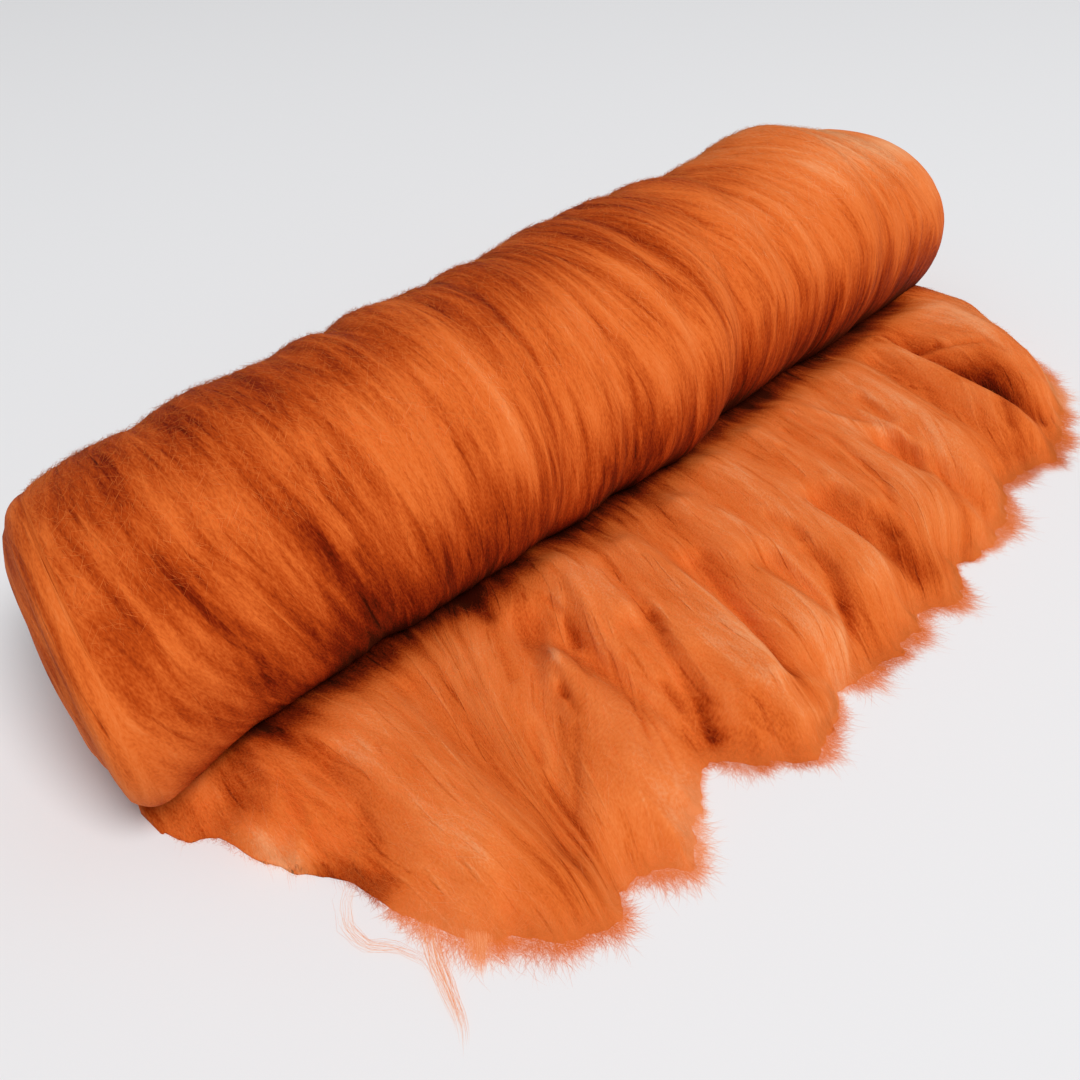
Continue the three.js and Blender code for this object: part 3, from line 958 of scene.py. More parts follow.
    def build(self, material: bpy.types.Material) -> bpy.types.Object:
        """Lofts the roll from the middle of its near end to the middle of its far end.

        Args:
            material: The wool's finish.

        Returns:
            The roll.
        """
        near, far = self.ends
        degrees = np.arange(self.sides) * 360 / self.sides
        x, d = np.meshgrid(np.linspace(near.at, far.at, self.stations), degrees, indexing="ij")
        side = self.place(x, d, np.ones_like(x), self.relief(x, d))
        side_u = np.concatenate([self.fibre_at(x, d), self.fibre_at(x[:, :1], d[:, :1] + 360)], axis=1)
        near_points, near_tones, near_walk = self.end_rings(near, self.near_rings)
        far_points, far_tones, far_walk = self.end_rings(far, self.far_rings)
        points = np.concatenate([near_points[::-1], side, far_points])
        tones = np.concatenate([near_tones[::-1], self.tone(x, d), far_tones])
        near_u = np.broadcast_to(near.at - near_walk[::-1, None], (self.near_rings, self.sides + 1))
        far_u = np.broadcast_to(far.at + far_walk[:, None], (self.far_rings, self.sides + 1))
        u = np.concatenate([near_u, side_u, far_u])
        v = np.broadcast_to(np.arange(self.sides + 1) * 360 / self.sides * self.girth_per_degree, u.shape)
        rows = len(points)
        triangles = grid_triangles(rows, self.sides, True)
        first = np.arange(self.sides)
        second = (first + 1) % self.sides
        base = (rows - 1) * self.sides
        middles = rows * self.sides + np.arange(2)
        near_cap = np.stack([np.full_like(first, middles[0]), first, second], -1)
        far_cap = np.stack([np.full_like(first, middles[1]), base + second, base + first], -1)
        corners = np.concatenate([triangles, near_cap, far_cap])
        row, column = np.divmod(triangles, self.sides)
        seam = (column == 0) & (column.max(axis=1, keepdims=True) == self.sides - 1)
        column = np.where(seam, self.sides, column)
        uv_grid = np.stack([u[row, column], v[row, column]], -1)
        caps_uv = np.concatenate([np.full((self.sides, 3, 2), (middle, 0.0)) for middle in (u[0, 0], u[-1, 0])])
        uvs = np.concatenate([uv_grid, caps_uv]) / METRE
        centres = np.stack([points[0].mean(axis=0), points[-1].mean(axis=0)])
        every = np.concatenate([points.reshape(-1, 3), centres])
        all_tones = np.concatenate([tones.ravel(), [self.hidden_tone] * 2])
        craft = MeshCraft("roll", material, Slot.WOOL, ("batt",), fill=0.55)
        return craft.build(every, corners, all_tones, uvs)


@dataclass
class LooseEnd:
    """The end of the batt that runs out from under the roll and lies in soft pleats, thin at its free edge.

    flows holds the stretches that the fibres follow, and locks the places that each bent lock passes, half its
    width, how far it stands up and how much paler it is: painted light on a raised lock, painted shade in a sunk
    one.
    """

    half_length: float = 300.0
    full: float = 21.0
    pressed: float = 15.0
    pressed_reach: float = -48.0
    pressed_easing: float = 40.0
    edge_thickness: float = 0.7
    edge_rounding: float = 15.0
    columns: int = 560
    smooth_points: int = 2400
    smooth_over: int = 35
    smooth_spread: float = 2.2
    rows: int = 100
    crowding: float = 1.4
    least_height: float = 0.6
    sway_by: float = 2
    facing_step: float = 1.5
    fine_relief: float = 0.08
    broad_relief: float = 0.3
    mark_relief: float = 0.55
    edge_shape: float = 1.35
    slit_from: float = 1.1
    slit_depth: float = 0.7
    strand_rise: float = 0.6
    slit_painted_shade: float = 0.06
    strand_tone: float = 0.06
    middle_tone: float = 0.57
    shade_tone: float = 0.035
    broad_tone: float = 0.03
    cloud_tone: float = 0.03
    hidden_tone: float = 0.4
    thin_reach: float = 8.0
    edge_pale: float = 0.04
    edge_pale_reach: float = 7
    mark_tone_and_painted_shading: float = 0.8
    lock_painted_shading: float = 1.4
    lock_relief: float = 1.2
    lock_taper: float = 0.6
    lock_from: float = 0.08
    lock_span: float = 0.84
    fold_painted_shading: float = 0.017
    scallop: float = 1.3
    fine_scallop: float = 0.8
    free_edge: tuple[tuple[float, float], ...] = (
        (-310, -56), (-305, -72), (-295, -77), (-291, -98), (-284, -118), (-272, -134), (-268, -162),
        (-260, -182), (-244, -202), (-231, -220), (-214, -226), (-200, -216), (-187, -218), (-175, -232),
        (-160, -224), (-142, -210), (-127, -203), (-112, -220), (-93, -240), (-74, -234), (-48, -225),
        (-28, -228), (-6, -232), (22, -226), (50, -236), (62, -234), (75, -224), (100, -231), (116, -229),
        (150, -217), (172, -210), (205, -219), (240, -213), (272, -202), (300, -182), (326, -156),
        (344, -126), (357, -96),
    )
    back_edge: tuple[tuple[float, float], ...] = (
        (-310, -44), (-296, -20), (-270, 6), (300, 6), (328, -12), (348, -36), (357, -70),
    )
    folds: tuple[Mark, ...] = marked(
        (-262, -64, -281, -112, 9, 5), (-250, -96, -262, -140, 9, -5), (-222, -70, -236, -190, 20, 4),
        (-196, -90, -206, -200, 9, -4), (-160, -74, -182, -196, 18, 4), (-135, -104, -206, -194, 9, -5),
        (-138, -128, -172, -214, 11, 4), (-124, -100, -122, -196, 11, -9), (-92, -82, -98, -160, 13, 5),
        (-96, -140, -116, -200, 8, -7), (-56, -100, -78, -200, 13, 7), (-40, -130, -66, -204, 8, -6),
        (-8, -100, -34, -204, 14, 8), (-16, -160, -20, -226, 10, -8), (36, -90, 14, -200, 17, 7),
        (52, -150, 42, -214, 9, -8), (80, -88, 66, -170, 11, 5), (116, -88, 88, -206, 17, 7),
        (128, -150, 122, -206, 9, -7), (182, -92, 144, -206, 18, 6), (214, -96, 184, -196, 10, -6),
        (238, -82, 214, -200, 15, 4), (254, -96, 236, -196, 12, -11), (312, -58, 282, -186, 22, 8),
    )
    flows: tuple[tuple[float, float, float, float], ...] = (
        (-285, -70, -283, -110), (-262, -75, -262, -110), (-255, -110, -243, -190), (-225, -80, -222, -190),
        (-190, -70, -196, -150), (-200, -150, -205, -215), (-150, -95, -190, -150), (-135, -110, -165, -150),
        (-150, -150, -190, -205), (-115, -100, -145, -135), (-118, -130, -128, -195), (-105, -95, -118, -140),
        (-95, -100, -112, -190), (-75, -90, -82, -200), (-45, -95, -70, -200), (-15, -95, -40, -205),
        (15, -85, 0, -150), (5, -150, -30, -205), (25, -120, 0, -190), (60, -80, 30, -190),
        (80, -90, 60, -170), (60, -180, 25, -222), (100, -100, 90, -150), (135, -85, 95, -190),
        (155, -110, 130, -165), (190, -85, 155, -185), (140, -185, 90, -218), (215, -90, 185, -180),
        (245, -85, 250, -140), (250, -150, 212, -190), (285, -70, 298, -110), (295, -115, 270, -170),
        (320, -80, 330, -105), (335, -105, 290, -175), (240, -180, 205, -215),
    )
    locks: tuple[tuple[tuple[tuple[float, float], ...], float, float, float], ...] = (
        (((-53, -107), (-63, -152), (-73, -193), (-85, -217)), 5.5, 3, 0.10),
        (((3, -117), (-4, -160), (-14, -195), (-33, -217), (-50, -226), (-71, -230), (-86, -224)), 3.2, 2.6, 0.11),
        (((-35, -132), (-50, -167), (-64, -193), (-70, -212)), 3.4, -2.6, -0.13),
        (((-73, -97), (-83, -131), (-97, -157), (-107, -184), (-114, -200)), 3.6, -2.6, -0.12),
        (((-95, -96), (-113, -130), (-121, -160), (-120, -193)), 4.2, 2.2, 0.09),
        (((14, -155), (3, -185), (-14, -207), (-41, -229)), 3.4, -2.6, -0.13),
        (((58, -107), (36, -166), (24, -202), (10, -221)), 6.5, 2.2, 0.07),
        (((241, -112), (244, -139), (237, -170), (234, -184)), 5.5, -3, -0.13),
        (((237, -70), (258, -103), (279, -137), (275, -153)), 2, -1.6, -0.10),
        (((232, -76), (251, -100), (262, -122)), 1.8, 1.4, 0.08),
        (((147, -107), (143, -137), (134, -167), (117, -186)), 3, 2, 0.08),
        (((113, -70), (103, -126), (87, -167), (61, -194)), 2.4, -1.8, -0.09),
        (((120, -95), (131, -123), (141, -151), (134, -174), (99, -195)), 5.5, 2, 0.08),
        (((261, -64), (301, -96), (292, -140)), 9, 1.5, 0.09),
        (((-129, -161), (-146, -186)), 1.6, -1.6, -0.12),
        (((-150, -138), (-159, -155)), 1.6, -1.6, -0.12),
        (((-130, -168), (-144, -200)), 1.8, -1.6, -0.10),
        (((-118, -103), (-133, -115), (-142, -130), (-140, -140)), 4.6, 1.2, 0.06),
        (((-267, -86), (-274, -122)), 2.4, -1.2, -0.07),
        (((-252, -118), (-258, -142)), 2.4, -1.2, -0.07),
    )
    puffs: tuple[Mark, ...] = marked(
        (-294, -90, -288, -122, 11, 0.78), (-286, -124, -270, -136, 9, 0.6), (330, -70, 350, -120, 22, 0.35),
        (-40, -228, -80, -232, 14, 0.3),
    )
    marks: tuple[Mark, ...] = marked(
        (-110, -94, -112, -104, 1.8, -3, -0.2), (-113, -108, -119, -122, 2, -3, -0.2),
        (-128, -126, -136, -142, 2, -2.5, -0.16), (-150, -103, -162, -120, 2.5, -2, -0.12),
        (-144, -130, -154, -143, 2.2, -2.5, -0.18), (-177, -104, -180, -114, 2, -1.5, -0.1),
        (-176, -146, -187, -160, 2, -2, -0.14), (-165, -160, -195, -186, 1.6, -1.5, -0.1),
        (-84, -138, -90, -150, 2.2, -2.5, -0.16), (-112, -168, -116, -180, 2.2, -2.5, -0.16),
        (-110, -186, -116, -199, 2.4, -2.5, -0.16), (-64, -193, -71, -206, 3, -2, -0.1),
        (16, -140, 13, -162, 3, -3, -0.16), (6, -168, 2, -182, 3, -3, -0.16), (0, -186, -10, -200, 4, -3, -0.14),
        (-134, -58, -138, -80, 5, -3, -0.12), (-127, -195, -110, -214, 8, -2, -0.12),
        (-277, -128, -268, -148, 6, -2, -0.36), (76, -108, 70, -138, 2.5, -2, -0.14),
        (96, -98, 88, -138, 2, -1.5, -0.1), (63, -152, 56, -192, 4, -4, -0.2),
        (159, -112, 150, -138, 2.8, -3, -0.18), (146, -150, 134, -162, 2.8, -2, -0.12),
        (186, -128, 174, -162, 2.5, -1.5, -0.12), (246, -86, 250, -142, 8, -3, -0.18),
        (256, -153, 238, -168, 4.5, -2.5, -0.16), (230, -148, 242, -176, 10, -1, -0.1),
        (216, -180, 204, -192, 4, -2, -0.14), (45, -202, 20, -216, 8, -1, -0.08),
        (112, -62, 116, -98, 2, -1, -0.06), (265, -95, 268, -120, 2.5, -1.5, -0.1),
        (310, -66, 318, -92, 5, -1, -0.1), (-290, -84, -288, -114, 3.5, 1, 0.14),
        (-108, -98, -150, -131, 6, 2, 0.1), (-150, -131, -190, -166, 3.5, 1.5, 0.08),
        (-101, -150, -112, -188, 2.5, 1.5, 0.1), (-78, -95, -82, -190, 5, 1, 0.08),
        (-10, -100, -36, -204, 6, 1, 0.08), (-82, -205, -58, -221, 2.5, 1.5, 0.1),
        (-58, -221, -32, -212, 2.5, 1.5, 0.1), (60, -80, 30, -188, 9, 0.5, 0.08),
        (140, -85, 124, -130, 11, 0.5, 0.08), (124, -130, 100, -182, 9, 0.5, 0.08),
        (176, -108, 166, -138, 6, 0.5, 0.06), (294, -88, 302, -118, 14, 0.5, 0.08),
        (-215, -140, -206, -200, 12, 0.3, 0.04),
    )
    # Patches change only the tone: the darker ones mostly painted shade in the hollows by sunk locks and folds, the
    # paler ones mostly painted light on raised locks.
    patches: tuple[Mark, ...] = marked(
        (67, -166, 49, -200, 8, 0, -0.10), (15, -181, -4, -206, 7, 0, -0.07), (262, -148, 232, -182, 11, 0, -0.15),
        (101, -190, 101, -211, 8, 0, -0.09), (-57, -191, -71, -214, 7, 0, -0.07),
        (-121, -205, -125, -221, 11, 0, -0.04), (-91, -224, -97, -235, 10, 0, -0.08),
        (226, -146, 262, -170, 15, 0, -0.11), (330, -110, 316, -150, 10, 0, -0.06),
        (52, -221, 90, -222, 12, 0, -0.13), (120, -212, 205, -206, 11, 0, -0.08),
        (-108, -216, -114, -226, 10, 0, -0.05), (148, -99, 127, -152, 10, 0, 0.06),
        (61, -125, 20, -198, 8, 0, 0.04), (-52, -132, -73, -193, 8, 0, 0.03), (-88, -201, -82, -226, 5, 0, 0.06),
        (-19, -211, -35, -225, 4, 0, 0.06), (149, -160, 124, -194, 7, 0, 0.05), (211, -141, 223, -163, 6, 0, 0.04),
        (-247, -108, -225, -100, 16, 0, 0.05), (-278, -81, -270, -96, 14, 0, -0.13),
        (-234, -193, -222, -206, 14, 0, -0.10), (-306, -52, -297, -80, 11, 0, -0.18),
        (-287, -98, -281, -116, 4, 0, 0.05),
    )
    # Painted crease shade where the loose end runs in under the roll, fading out towards the near corner.
    shades: tuple[PaintedShading, ...] = (
        PaintedShading(-0.22, (-290, -254), (-100, -64)), PaintedShading(-0.3, (-290, -254), (-80, -58)),
    )
    edge_field: tuple[float, float] = (1200, 100)
    field_size: tuple[float, float] = (760, 300)
    streaks: tuple[tuple[float, float, int], ...] = (
        (2.4, 44, 13), (9, 60, 14), (40, 40, 15), (5, 50, 16), (3.6, 30, 18), (30, 30, 19),
    )
    pull: float = 26.0
    least_pull: float = 1e-5
    map_step: float = 1.0
    map_from: float = -340.0
    map_to: float = 400.0
    crease: float = -50.0
    reach: float = -262.0

    def __post_init__(self) -> None:
        """Smooths the free edge, draws the random fields and maps the fibres."""
        curve = self._smoothed(np.array(self.free_edge, float))
        rough, fine = (StreakField(size, 7, *self.edge_field, SEED + number).at(curve[:, 2], np.zeros(len(curve)))
                       for size, number in ((7, 11), (2.6, 12)))
        curve[:, 1] += self.scallop * rough + self.fine_scallop * fine
        self.front = curve[:, :2]
        self.tufts = StreakField(14, 7, *self.edge_field, SEED + 17)
        self.fine, self.broad, self.sway, self.shade, self.slits, self.cloud = (
            StreakField(across, along, *self.field_size, SEED + number) for across, along, number in self.streaks)
        self._map_fibres()

    def _smoothed(self, rows: Array) -> Array:
        """Rounds the corners of the free edge and spaces its points evenly.

        Args:
            rows: The edge's X and Y.

        Returns:
            X, Y and the distance walked, one row a column of the piece.
        """
        course = self._evened(rows, self.smooth_points)
        half = self.smooth_over // 2
        bell = np.exp(-np.linspace(-self.smooth_spread, self.smooth_spread, self.smooth_over) ** 2)
        bell /= bell.sum()
        padded = np.pad(course[:, :2], ((half, half), (0, 0)), mode="reflect", reflect_type="odd")
        rounded = np.stack([np.convolve(side, bell, mode="valid") for side in padded.T], -1)
        return self._evened(rounded, self.columns)

    @staticmethod
    def _evened(course: Array, count: int) -> Array:
        """Spaces a course's points evenly.

        Args:
            course: X and Y, one point a row.
            count: How many points to give it.

        Returns:
            X, Y and the distance walked, one point a row.
        """
        walked = walk(course)
        even = np.linspace(0, walked[-1], count)
        return np.stack([*(np.interp(even, walked, side) for side in course.T), even], -1)

    def slope(self, x: Array, y: Array) -> Array:
        """How far the fibres drift along X for each millimetre that they run along Y.

        Args:
            x: Places along X.
            y: Places along Y.

        Returns:
            The slope at each place.
        """
        total, weight = np.zeros_like(x), np.full_like(x, FAINT)
        for x1, y1, x2, y2 in self.flows:
            near = Mark(x1, y1, x2, y2, self.pull, 0).strength(x, y) + self.least_pull
            total += near * (x2 - x1) / (y2 - y1)
            weight += near
        return total / weight

    def _map_fibres(self) -> None:
        """Follows the fibres out from the roll, row by row, to learn which one passes through each place."""
        self.map_x = np.arange(self.map_from, self.map_to, self.map_step)
        self.map_y = np.arange(self.crease, self.reach, -self.map_step)
        rows = [self.map_x.copy()]
        for y in self.map_y[1:]:
            before = self.map_x + self.slope(self.map_x, np.full_like(self.map_x, y)) * self.map_step
            rows.append(np.interp(before, self.map_x, rows[-1]))
        self.fibre_map = np.stack(rows)

    def fibre_at(self, x: Array, y: Array) -> Array:
        """Which fibre passes through a place: its own X where it leaves the roll.

        Args:
            x: Places along X.
            y: Places along Y.

        Returns:
            The fibre's X, swaying a little from its neighbours'.
        """
        column = np.clip((x - self.map_from) / self.map_step, 0, len(self.map_x) - LAST_CELL)
        row = np.clip((self.crease - y) / self.map_step, 0, len(self.map_y) - LAST_CELL)
        return read_grid(self.fibre_map, row, column) + self.sway_by * self.sway.at(x, y)

    def edge_distance(self, x: Array, y: Array) -> Array:
        """How far a place is from the outline, leaving out the stretch that the roll hides.

        Args:
            x: Places along X.
            y: Places along Y.

        Returns:
            Distances in millimetres.
        """
        line = [*self.front[::4].tolist(), self.front[-1].tolist()]
        line += [row for row in reversed(self.back_edge) if row[0] > self.half_length]
        nearest = np.full_like(x, np.inf)
        for start, end in zip(line, line[1:]):
            nearest = np.minimum(nearest, from_segment(x, y, start, end)[0])
        return nearest

    def inside(self, x: Array, y: Array) -> Array:
        """Whether a place is on the wool's side of the free edge.

        Args:
            x: Places along X.
            y: Places along Y.

        Returns:
            True where the place is inside.
        """
        return (y > np.interp(x, self.front[:, 0], self.front[:, 1])) & (x > self.front[0, 0]) & (
            x < self.front[-1, 0])

    def height(self, x: Array, y: Array) -> Array:
        """The top of the loose end over a place.

        Args:
            x: Places along X.
            y: Places along Y.

        Returns:
            Heights in millimetres.
        """
        rounding = self.edge_rounding * (1 - sum(puff.rise * puff.strength(x, y) for puff in self.puffs))
        inward = 1 - np.exp(-(self.edge_distance(x, y) / rounding) ** self.edge_shape)
        under = smoothstep(y, self.pressed_reach - self.pressed_easing, self.pressed_reach)
        full = self.full + (self.pressed - self.full) * np.where(x > self.half_length, 0, under)
        folds = sum(fold.rise * fold.strength(x, y) for fold in self.folds)
        folds = folds + self.mark_relief * sum(mark.rise * mark.strength(x, y) for mark in self.marks)
        folds = folds + self.lock_relief * sum(
            rise * self.along_lock(course, half, x, y) for course, half, rise, _ in self.locks)
        u = self.fibre_at(x, y)
        relief = self.fine_relief * self.fine.at(u, y) + self.broad_relief * self.broad.at(u, y)
        relief += strands(self.slits.at(u, y), self.slit_from, self.strand_rise, self.slit_depth)
        raised = (full - self.edge_thickness + folds + relief * (1 - under)) * inward
        return np.maximum(self.edge_thickness + raised, self.least_height)

    def facing(self, x: Array, y: Array) -> Array:
        """Which way the top of the loose end faces, and straight up beyond its edge.

        Args:
            x: Places along X.
            y: Places along Y.

        Returns:
            Directions of length one.
        """
        step = self.facing_step
        across, along = (
            np.where(self.inside(x, y), (self.height(x + dx, y + dy) - self.height(x - dx, y - dy)) / (2 * step), 0)
            for dx, dy in ((step, 0), (0, step)))
        return unit(np.stack([-across, -along, np.ones_like(x)], -1))

    def tone(self, x: Array, y: Array) -> Array:
        """How pale the wool is at a place, with painted shade in the crease and hollows and painted light on
        ridges.

        Args:
            x: Places along X.
            y: Places along Y.

        Returns:
            Tones, about 0.5 for the wool's middle colour.
        """
        u = self.fibre_at(x, y)
        total = self.middle_tone + self.shade_tone * self.shade.at(u, y) + self.broad_tone * self.broad.at(u, y)
        total += self.cloud_tone * self.cloud.at(x, y)
        # Slits between locks are painted darker as shade; strands are paler.
        total += strands(self.slits.at(u, y), self.slit_from, self.strand_tone, self.slit_painted_shade)
        # Sunk marks are painted darker as shade and raised ones paler as painted light.
        total += sum(self.mark_tone_and_painted_shading * mark.tone * mark.strength(x, y) for mark in self.marks)
        # Painted light on raised locks and painted shade in sunk ones.
        total += self.lock_painted_shading * sum(
            tone * self.along_lock(course, half, x, y) for course, half, _, tone in self.locks)
        # Painted shade in the hollows of the folds and painted light on their ridges.
        total += self.fold_painted_shading * sum(fold.rise * fold.strength(x, y) for fold in self.folds)
        # Patches: mostly painted shade in hollows and painted light on raised locks.
        total += sum(patch.tone * patch.strength(x, y) for patch in self.patches)
        # Painted crease shade under the roll.
        total += sum(shade.at(x, y) for shade in self.shades)
        return total + self.edge_pale * np.exp(-self.edge_distance(x, y) / self.edge_pale_reach)

    def along_lock(self, course: tuple[tuple[float, float], ...], half: float, x: Array, y: Array) -> Array:
        """How strongly a bent lock or groove is felt at each place, thinning towards its two ends.

        Args:
            course: The places that it passes.
            half: Half its width.
            x: Places along X.
            y: Places along Y.

        Returns:
            A bell curve of the distance from its course, from 0 to 1.
        """
        walked = walk(np.array(course, float))
        nearest, where = np.full_like(x, np.inf), np.zeros_like(x)
        for start, end, before, after in zip(course, course[1:], walked, walked[1:]):
            away, share = from_segment(x, y, start, end)
            where = np.where(away < nearest, (before + share * (after - before)) / walked[-1], where)
            nearest = np.minimum(nearest, away)
        thinning = np.sin(math.pi * (self.lock_from + self.lock_span * where)) ** self.lock_taper
        return thinning * np.exp(-((nearest / half) ** 2))

    def build(self, material: bpy.types.Material) -> bpy.types.Object:
        """Raises the loose end over its outline and closes it with a flat underside.

        Args:
            material: The wool's finish.

        Returns:
            The loose end.
        """
        share = (np.arange(self.rows) / (self.rows - 1)) ** self.crowding
        back = np.interp(self.front[:, 0], *np.array(self.back_edge, float).T)
        x = np.broadcast_to(self.front[:, :1], (self.columns, self.rows)).copy()
        y = self.front[:, 1:] + (back[:, None] - self.front[:, 1:]) * share[None, :]
        z = self.height(x, y)
        top = np.stack([x, y, z], -1)
        triangles = grid_triangles(self.columns, self.rows, False)
        first = np.arange(self.columns) * self.rows
        last = first + self.rows - 1
        under = self.columns * self.rows + np.arange(self.columns)
        behind = under + self.columns
        walls = []
        for near, far in ((first, under), (behind, last)):
            a, b, c, d = near[:-1], near[1:], far[:-1], far[1:]
            walls += [np.stack([a, c, b], -1), np.stack([b, c, d], -1)]
        a, b, c, d = under[:-1], under[1:], behind[:-1], behind[1:]
        walls += [np.stack([a, c, b], -1), np.stack([b, c, d], -1)]
        for column, turned in ((0, True), (self.columns - 1, False)):
            rim = column * self.rows + np.arange(self.rows)
            half = self.rows // 2
            fan = [np.stack([np.full(half, under[column]), rim[1:half + 1], rim[:half]], -1)]
            fan += [np.stack([np.full(self.rows - 1 - half, behind[column]), rim[half + 1:], rim[half:-1]], -1)]
            fan += [np.array([[under[column], behind[column], rim[half]]])]
            fan = np.concatenate(fan)
            walls.append(fan[:, ::-1] if turned else fan)
        corners = np.concatenate([triangles, *walls])
        floor_front = np.column_stack([self.front, np.zeros(self.columns)])
        floor_back = np.column_stack([self.front[:, 0], back, np.zeros(self.columns)])
        points = np.concatenate([top.reshape(-1, 3), floor_front, floor_back])
        u = self.fibre_at(points[:, 0], points[:, 1])
        uvs = np.stack([u, -points[:, 1]], -1)[corners] / METRE
        tones = self.tone(x, y)
        tones = np.concatenate([tones.ravel(), tones[:, 0], np.full(self.columns, self.hidden_tone)])
        thin = np.exp(-self.edge_distance(x, y) / self.thin_reach).ravel()
        thin = np.concatenate([thin, np.ones(self.columns), np.zeros(self.columns)])
        craft = MeshCraft("loose_end", material, Slot.WOOL, ("batt",), fill=0.35)
        return craft.build(points, corners, tones, uvs, upward=thin)


@dataclass(frozen=True)
class FibreKind:
    """One kind of drawn fibre: how many, how long, how thick, and how it lies on the wool.

    The roots say how far a fibre's ends or root are under the wool, and the powers how its height rises along it.
    """

    count: int
    shortest: float
    longest: float
    radius: float
    lay: Lay
    lift: float
    stations: int
    stray_angle: float = 0.07
    curl: float = 0.05
    tone_spread: float = 0.1
    tone_shift: float = 0.0
    least_lift: float = 0.25
    settled_root: float = 0.35
    settled_power: float = 0.8
    stray_root: float = 0.3
    stray_power: float = 1.6
    wave: float = 0.35
    wave_length: float = 9.0
    wave_start: float = 6.28
    bend_length: float = 12.0

    def lengths(self, rng: np.random.Generator) -> Array:
        """Draws the fibres' lengths.

        Args:
            rng: The source of chance.

        Returns:
            One length a fibre.
        """
        return rng.uniform(self.shortest, self.longest, self.count)

    def lifts(self, rng: np.random.Generator) -> Array:
        """How far each point of each fibre stands off the wool.

        Args:
            rng: The source of chance.

        Returns:
            Heights in millimetres, one row a fibre.
        """
        along = np.linspace(0, 1, self.stations)[None, :]
        rise = self.lift * rng.uniform(self.least_lift, 1, (self.count, 1))
        if self.lay is Lay.STRAY:
            return rise * along ** self.stray_power - self.stray_root * (1 - along)
        return (rise + self.settled_root) * np.sin(math.pi * along) ** self.settled_power - self.settled_root

    def wander(self, rng: np.random.Generator, lengths: Array) -> Array:
        """How far each point of each fibre strays sideways from the combed direction.

        Args:
            rng: The source of chance.
            lengths: The fibres' lengths.

        Returns:
            Offsets in millimetres, one row a fibre.
        """
        along = np.linspace(-0.5, 0.5, self.stations)[None, :] * lengths[:, None]
        heading = rng.normal(0, self.stray_angle, (self.count, 1))
        bend = rng.normal(0, self.curl, (self.count, 1))
        wave = rng.normal(0, self.wave, (self.count, 1)) * np.sin(
            along / self.wave_length + rng.uniform(0, self.wave_start, (self.count, 1)))
        return heading * along + bend * along * np.abs(along) / self.bend_length + wave

    def varied(self, rng: np.random.Generator, tones: Array, least: float, most: float) -> tuple[Array, Array]:
        """Gives each fibre a thickness and a tone of its own.

        Args:
            rng: The source of chance.
            tones: How pale each point of each fibre is before that.
            least: The thinnest fibre's share of the radius.
            most: The thickest fibre's share.

        Returns:
            The radii, and the tones of the points.
        """
        tones = tones + self.tone_shift + rng.normal(0, self.tone_spread, (self.count, 1))
        return self.radius * rng.uniform(least, most, self.count), tones


class Fibres:
    """Makes closed, tapered, three-sided fibres along given courses."""

    SIDES = 3
    ROUNDNESS = 0.3
    ASIDE = (0.31, 0.17, 0.93)
    MAP_APART = 3.7
    TAPER = 0.5

    @staticmethod
    def solids(courses: Array, radii: Array, tones: Array, facing: Array) -> tuple[Array, ...]:
        """Thickens courses into fibres that close to a point at each end.

        A fibre lets the light through, so it is lit like the wool under it and only a little like a round rod.

        Args:
            courses: Points in millimetres, fibre by fibre.
            radii: The thickness of each fibre's middle.
            tones: How pale each fibre is at each of its points.
            facing: Which way the wool under each point faces.

        Returns:
            Points, triangles, the points' tones, the fibre map of each triangle's corners, and the points' normals.
        """
        count, stations, _ = courses.shape
        inner = stations - 2
        tangent = unit(np.gradient(courses, axis=1))
        sideways = unit(np.cross(tangent, np.array(Fibres.ASIDE)))
        upwards = np.cross(sideways, tangent)
        taper = np.sin(math.pi * np.linspace(0, 1, stations)[1:-1]) ** Fibres.TAPER
        turn = np.arange(Fibres.SIDES) * 2 * math.pi / Fibres.SIDES
        offset = (np.cos(turn)[None, None, :, None] * sideways[:, 1:-1, None, :]
                  + np.sin(turn)[None, None, :, None] * upwards[:, 1:-1, None, :])
        rings = courses[:, 1:-1, None, :] + offset * (radii[:, None] * taper[None, :])[..., None, None]
        each = inner * Fibres.SIDES + 2
        points = np.concatenate([rings.reshape(count, -1, 3), courses[:, :1], courses[:, -1:]], axis=1)
        root, tip = each - 2, each - 1
        faces = []
        for side in range(Fibres.SIDES):
            after = (side + 1) % Fibres.SIDES
            faces.append((root, after, side))
            for ring in range(inner - 1):
                a, b = ring * Fibres.SIDES + side, ring * Fibres.SIDES + after
                faces += [(a, b, b + Fibres.SIDES), (a, b + Fibres.SIDES, a + Fibres.SIDES)]
            last = (inner - 1) * Fibres.SIDES
            faces.append((last + side, last + after, tip))
        pattern = np.array(faces)[:, ::-1]
        triangles = (np.arange(count)[:, None, None] * each + pattern[None]).reshape(-1, 3)
        station = np.concatenate([np.repeat(np.arange(1, stations - 1), Fibres.SIDES), [0, stations - 1]])
        steps = np.linalg.norm(np.diff(courses, axis=1, prepend=courses[:, :1]), axis=-1)
        walked = np.cumsum(steps, axis=1)
        own = (np.arange(count) * Fibres.MAP_APART)[:, None]
        uvs = np.stack([np.broadcast_to(own, (count, each)), walked[:, station]], -1).reshape(-1, 2)
        around = facing[:, 1:-1, None, :] + Fibres.ROUNDNESS * offset
        normals = np.concatenate([around.reshape(count, -1, 3), facing[:, :1], facing[:, -1:]], axis=1)
        tones = tones[:, station].ravel()
        return points.reshape(-1, 3), triangles, tones, uvs[triangles] / METRE, unit(normals.reshape(-1, 3))


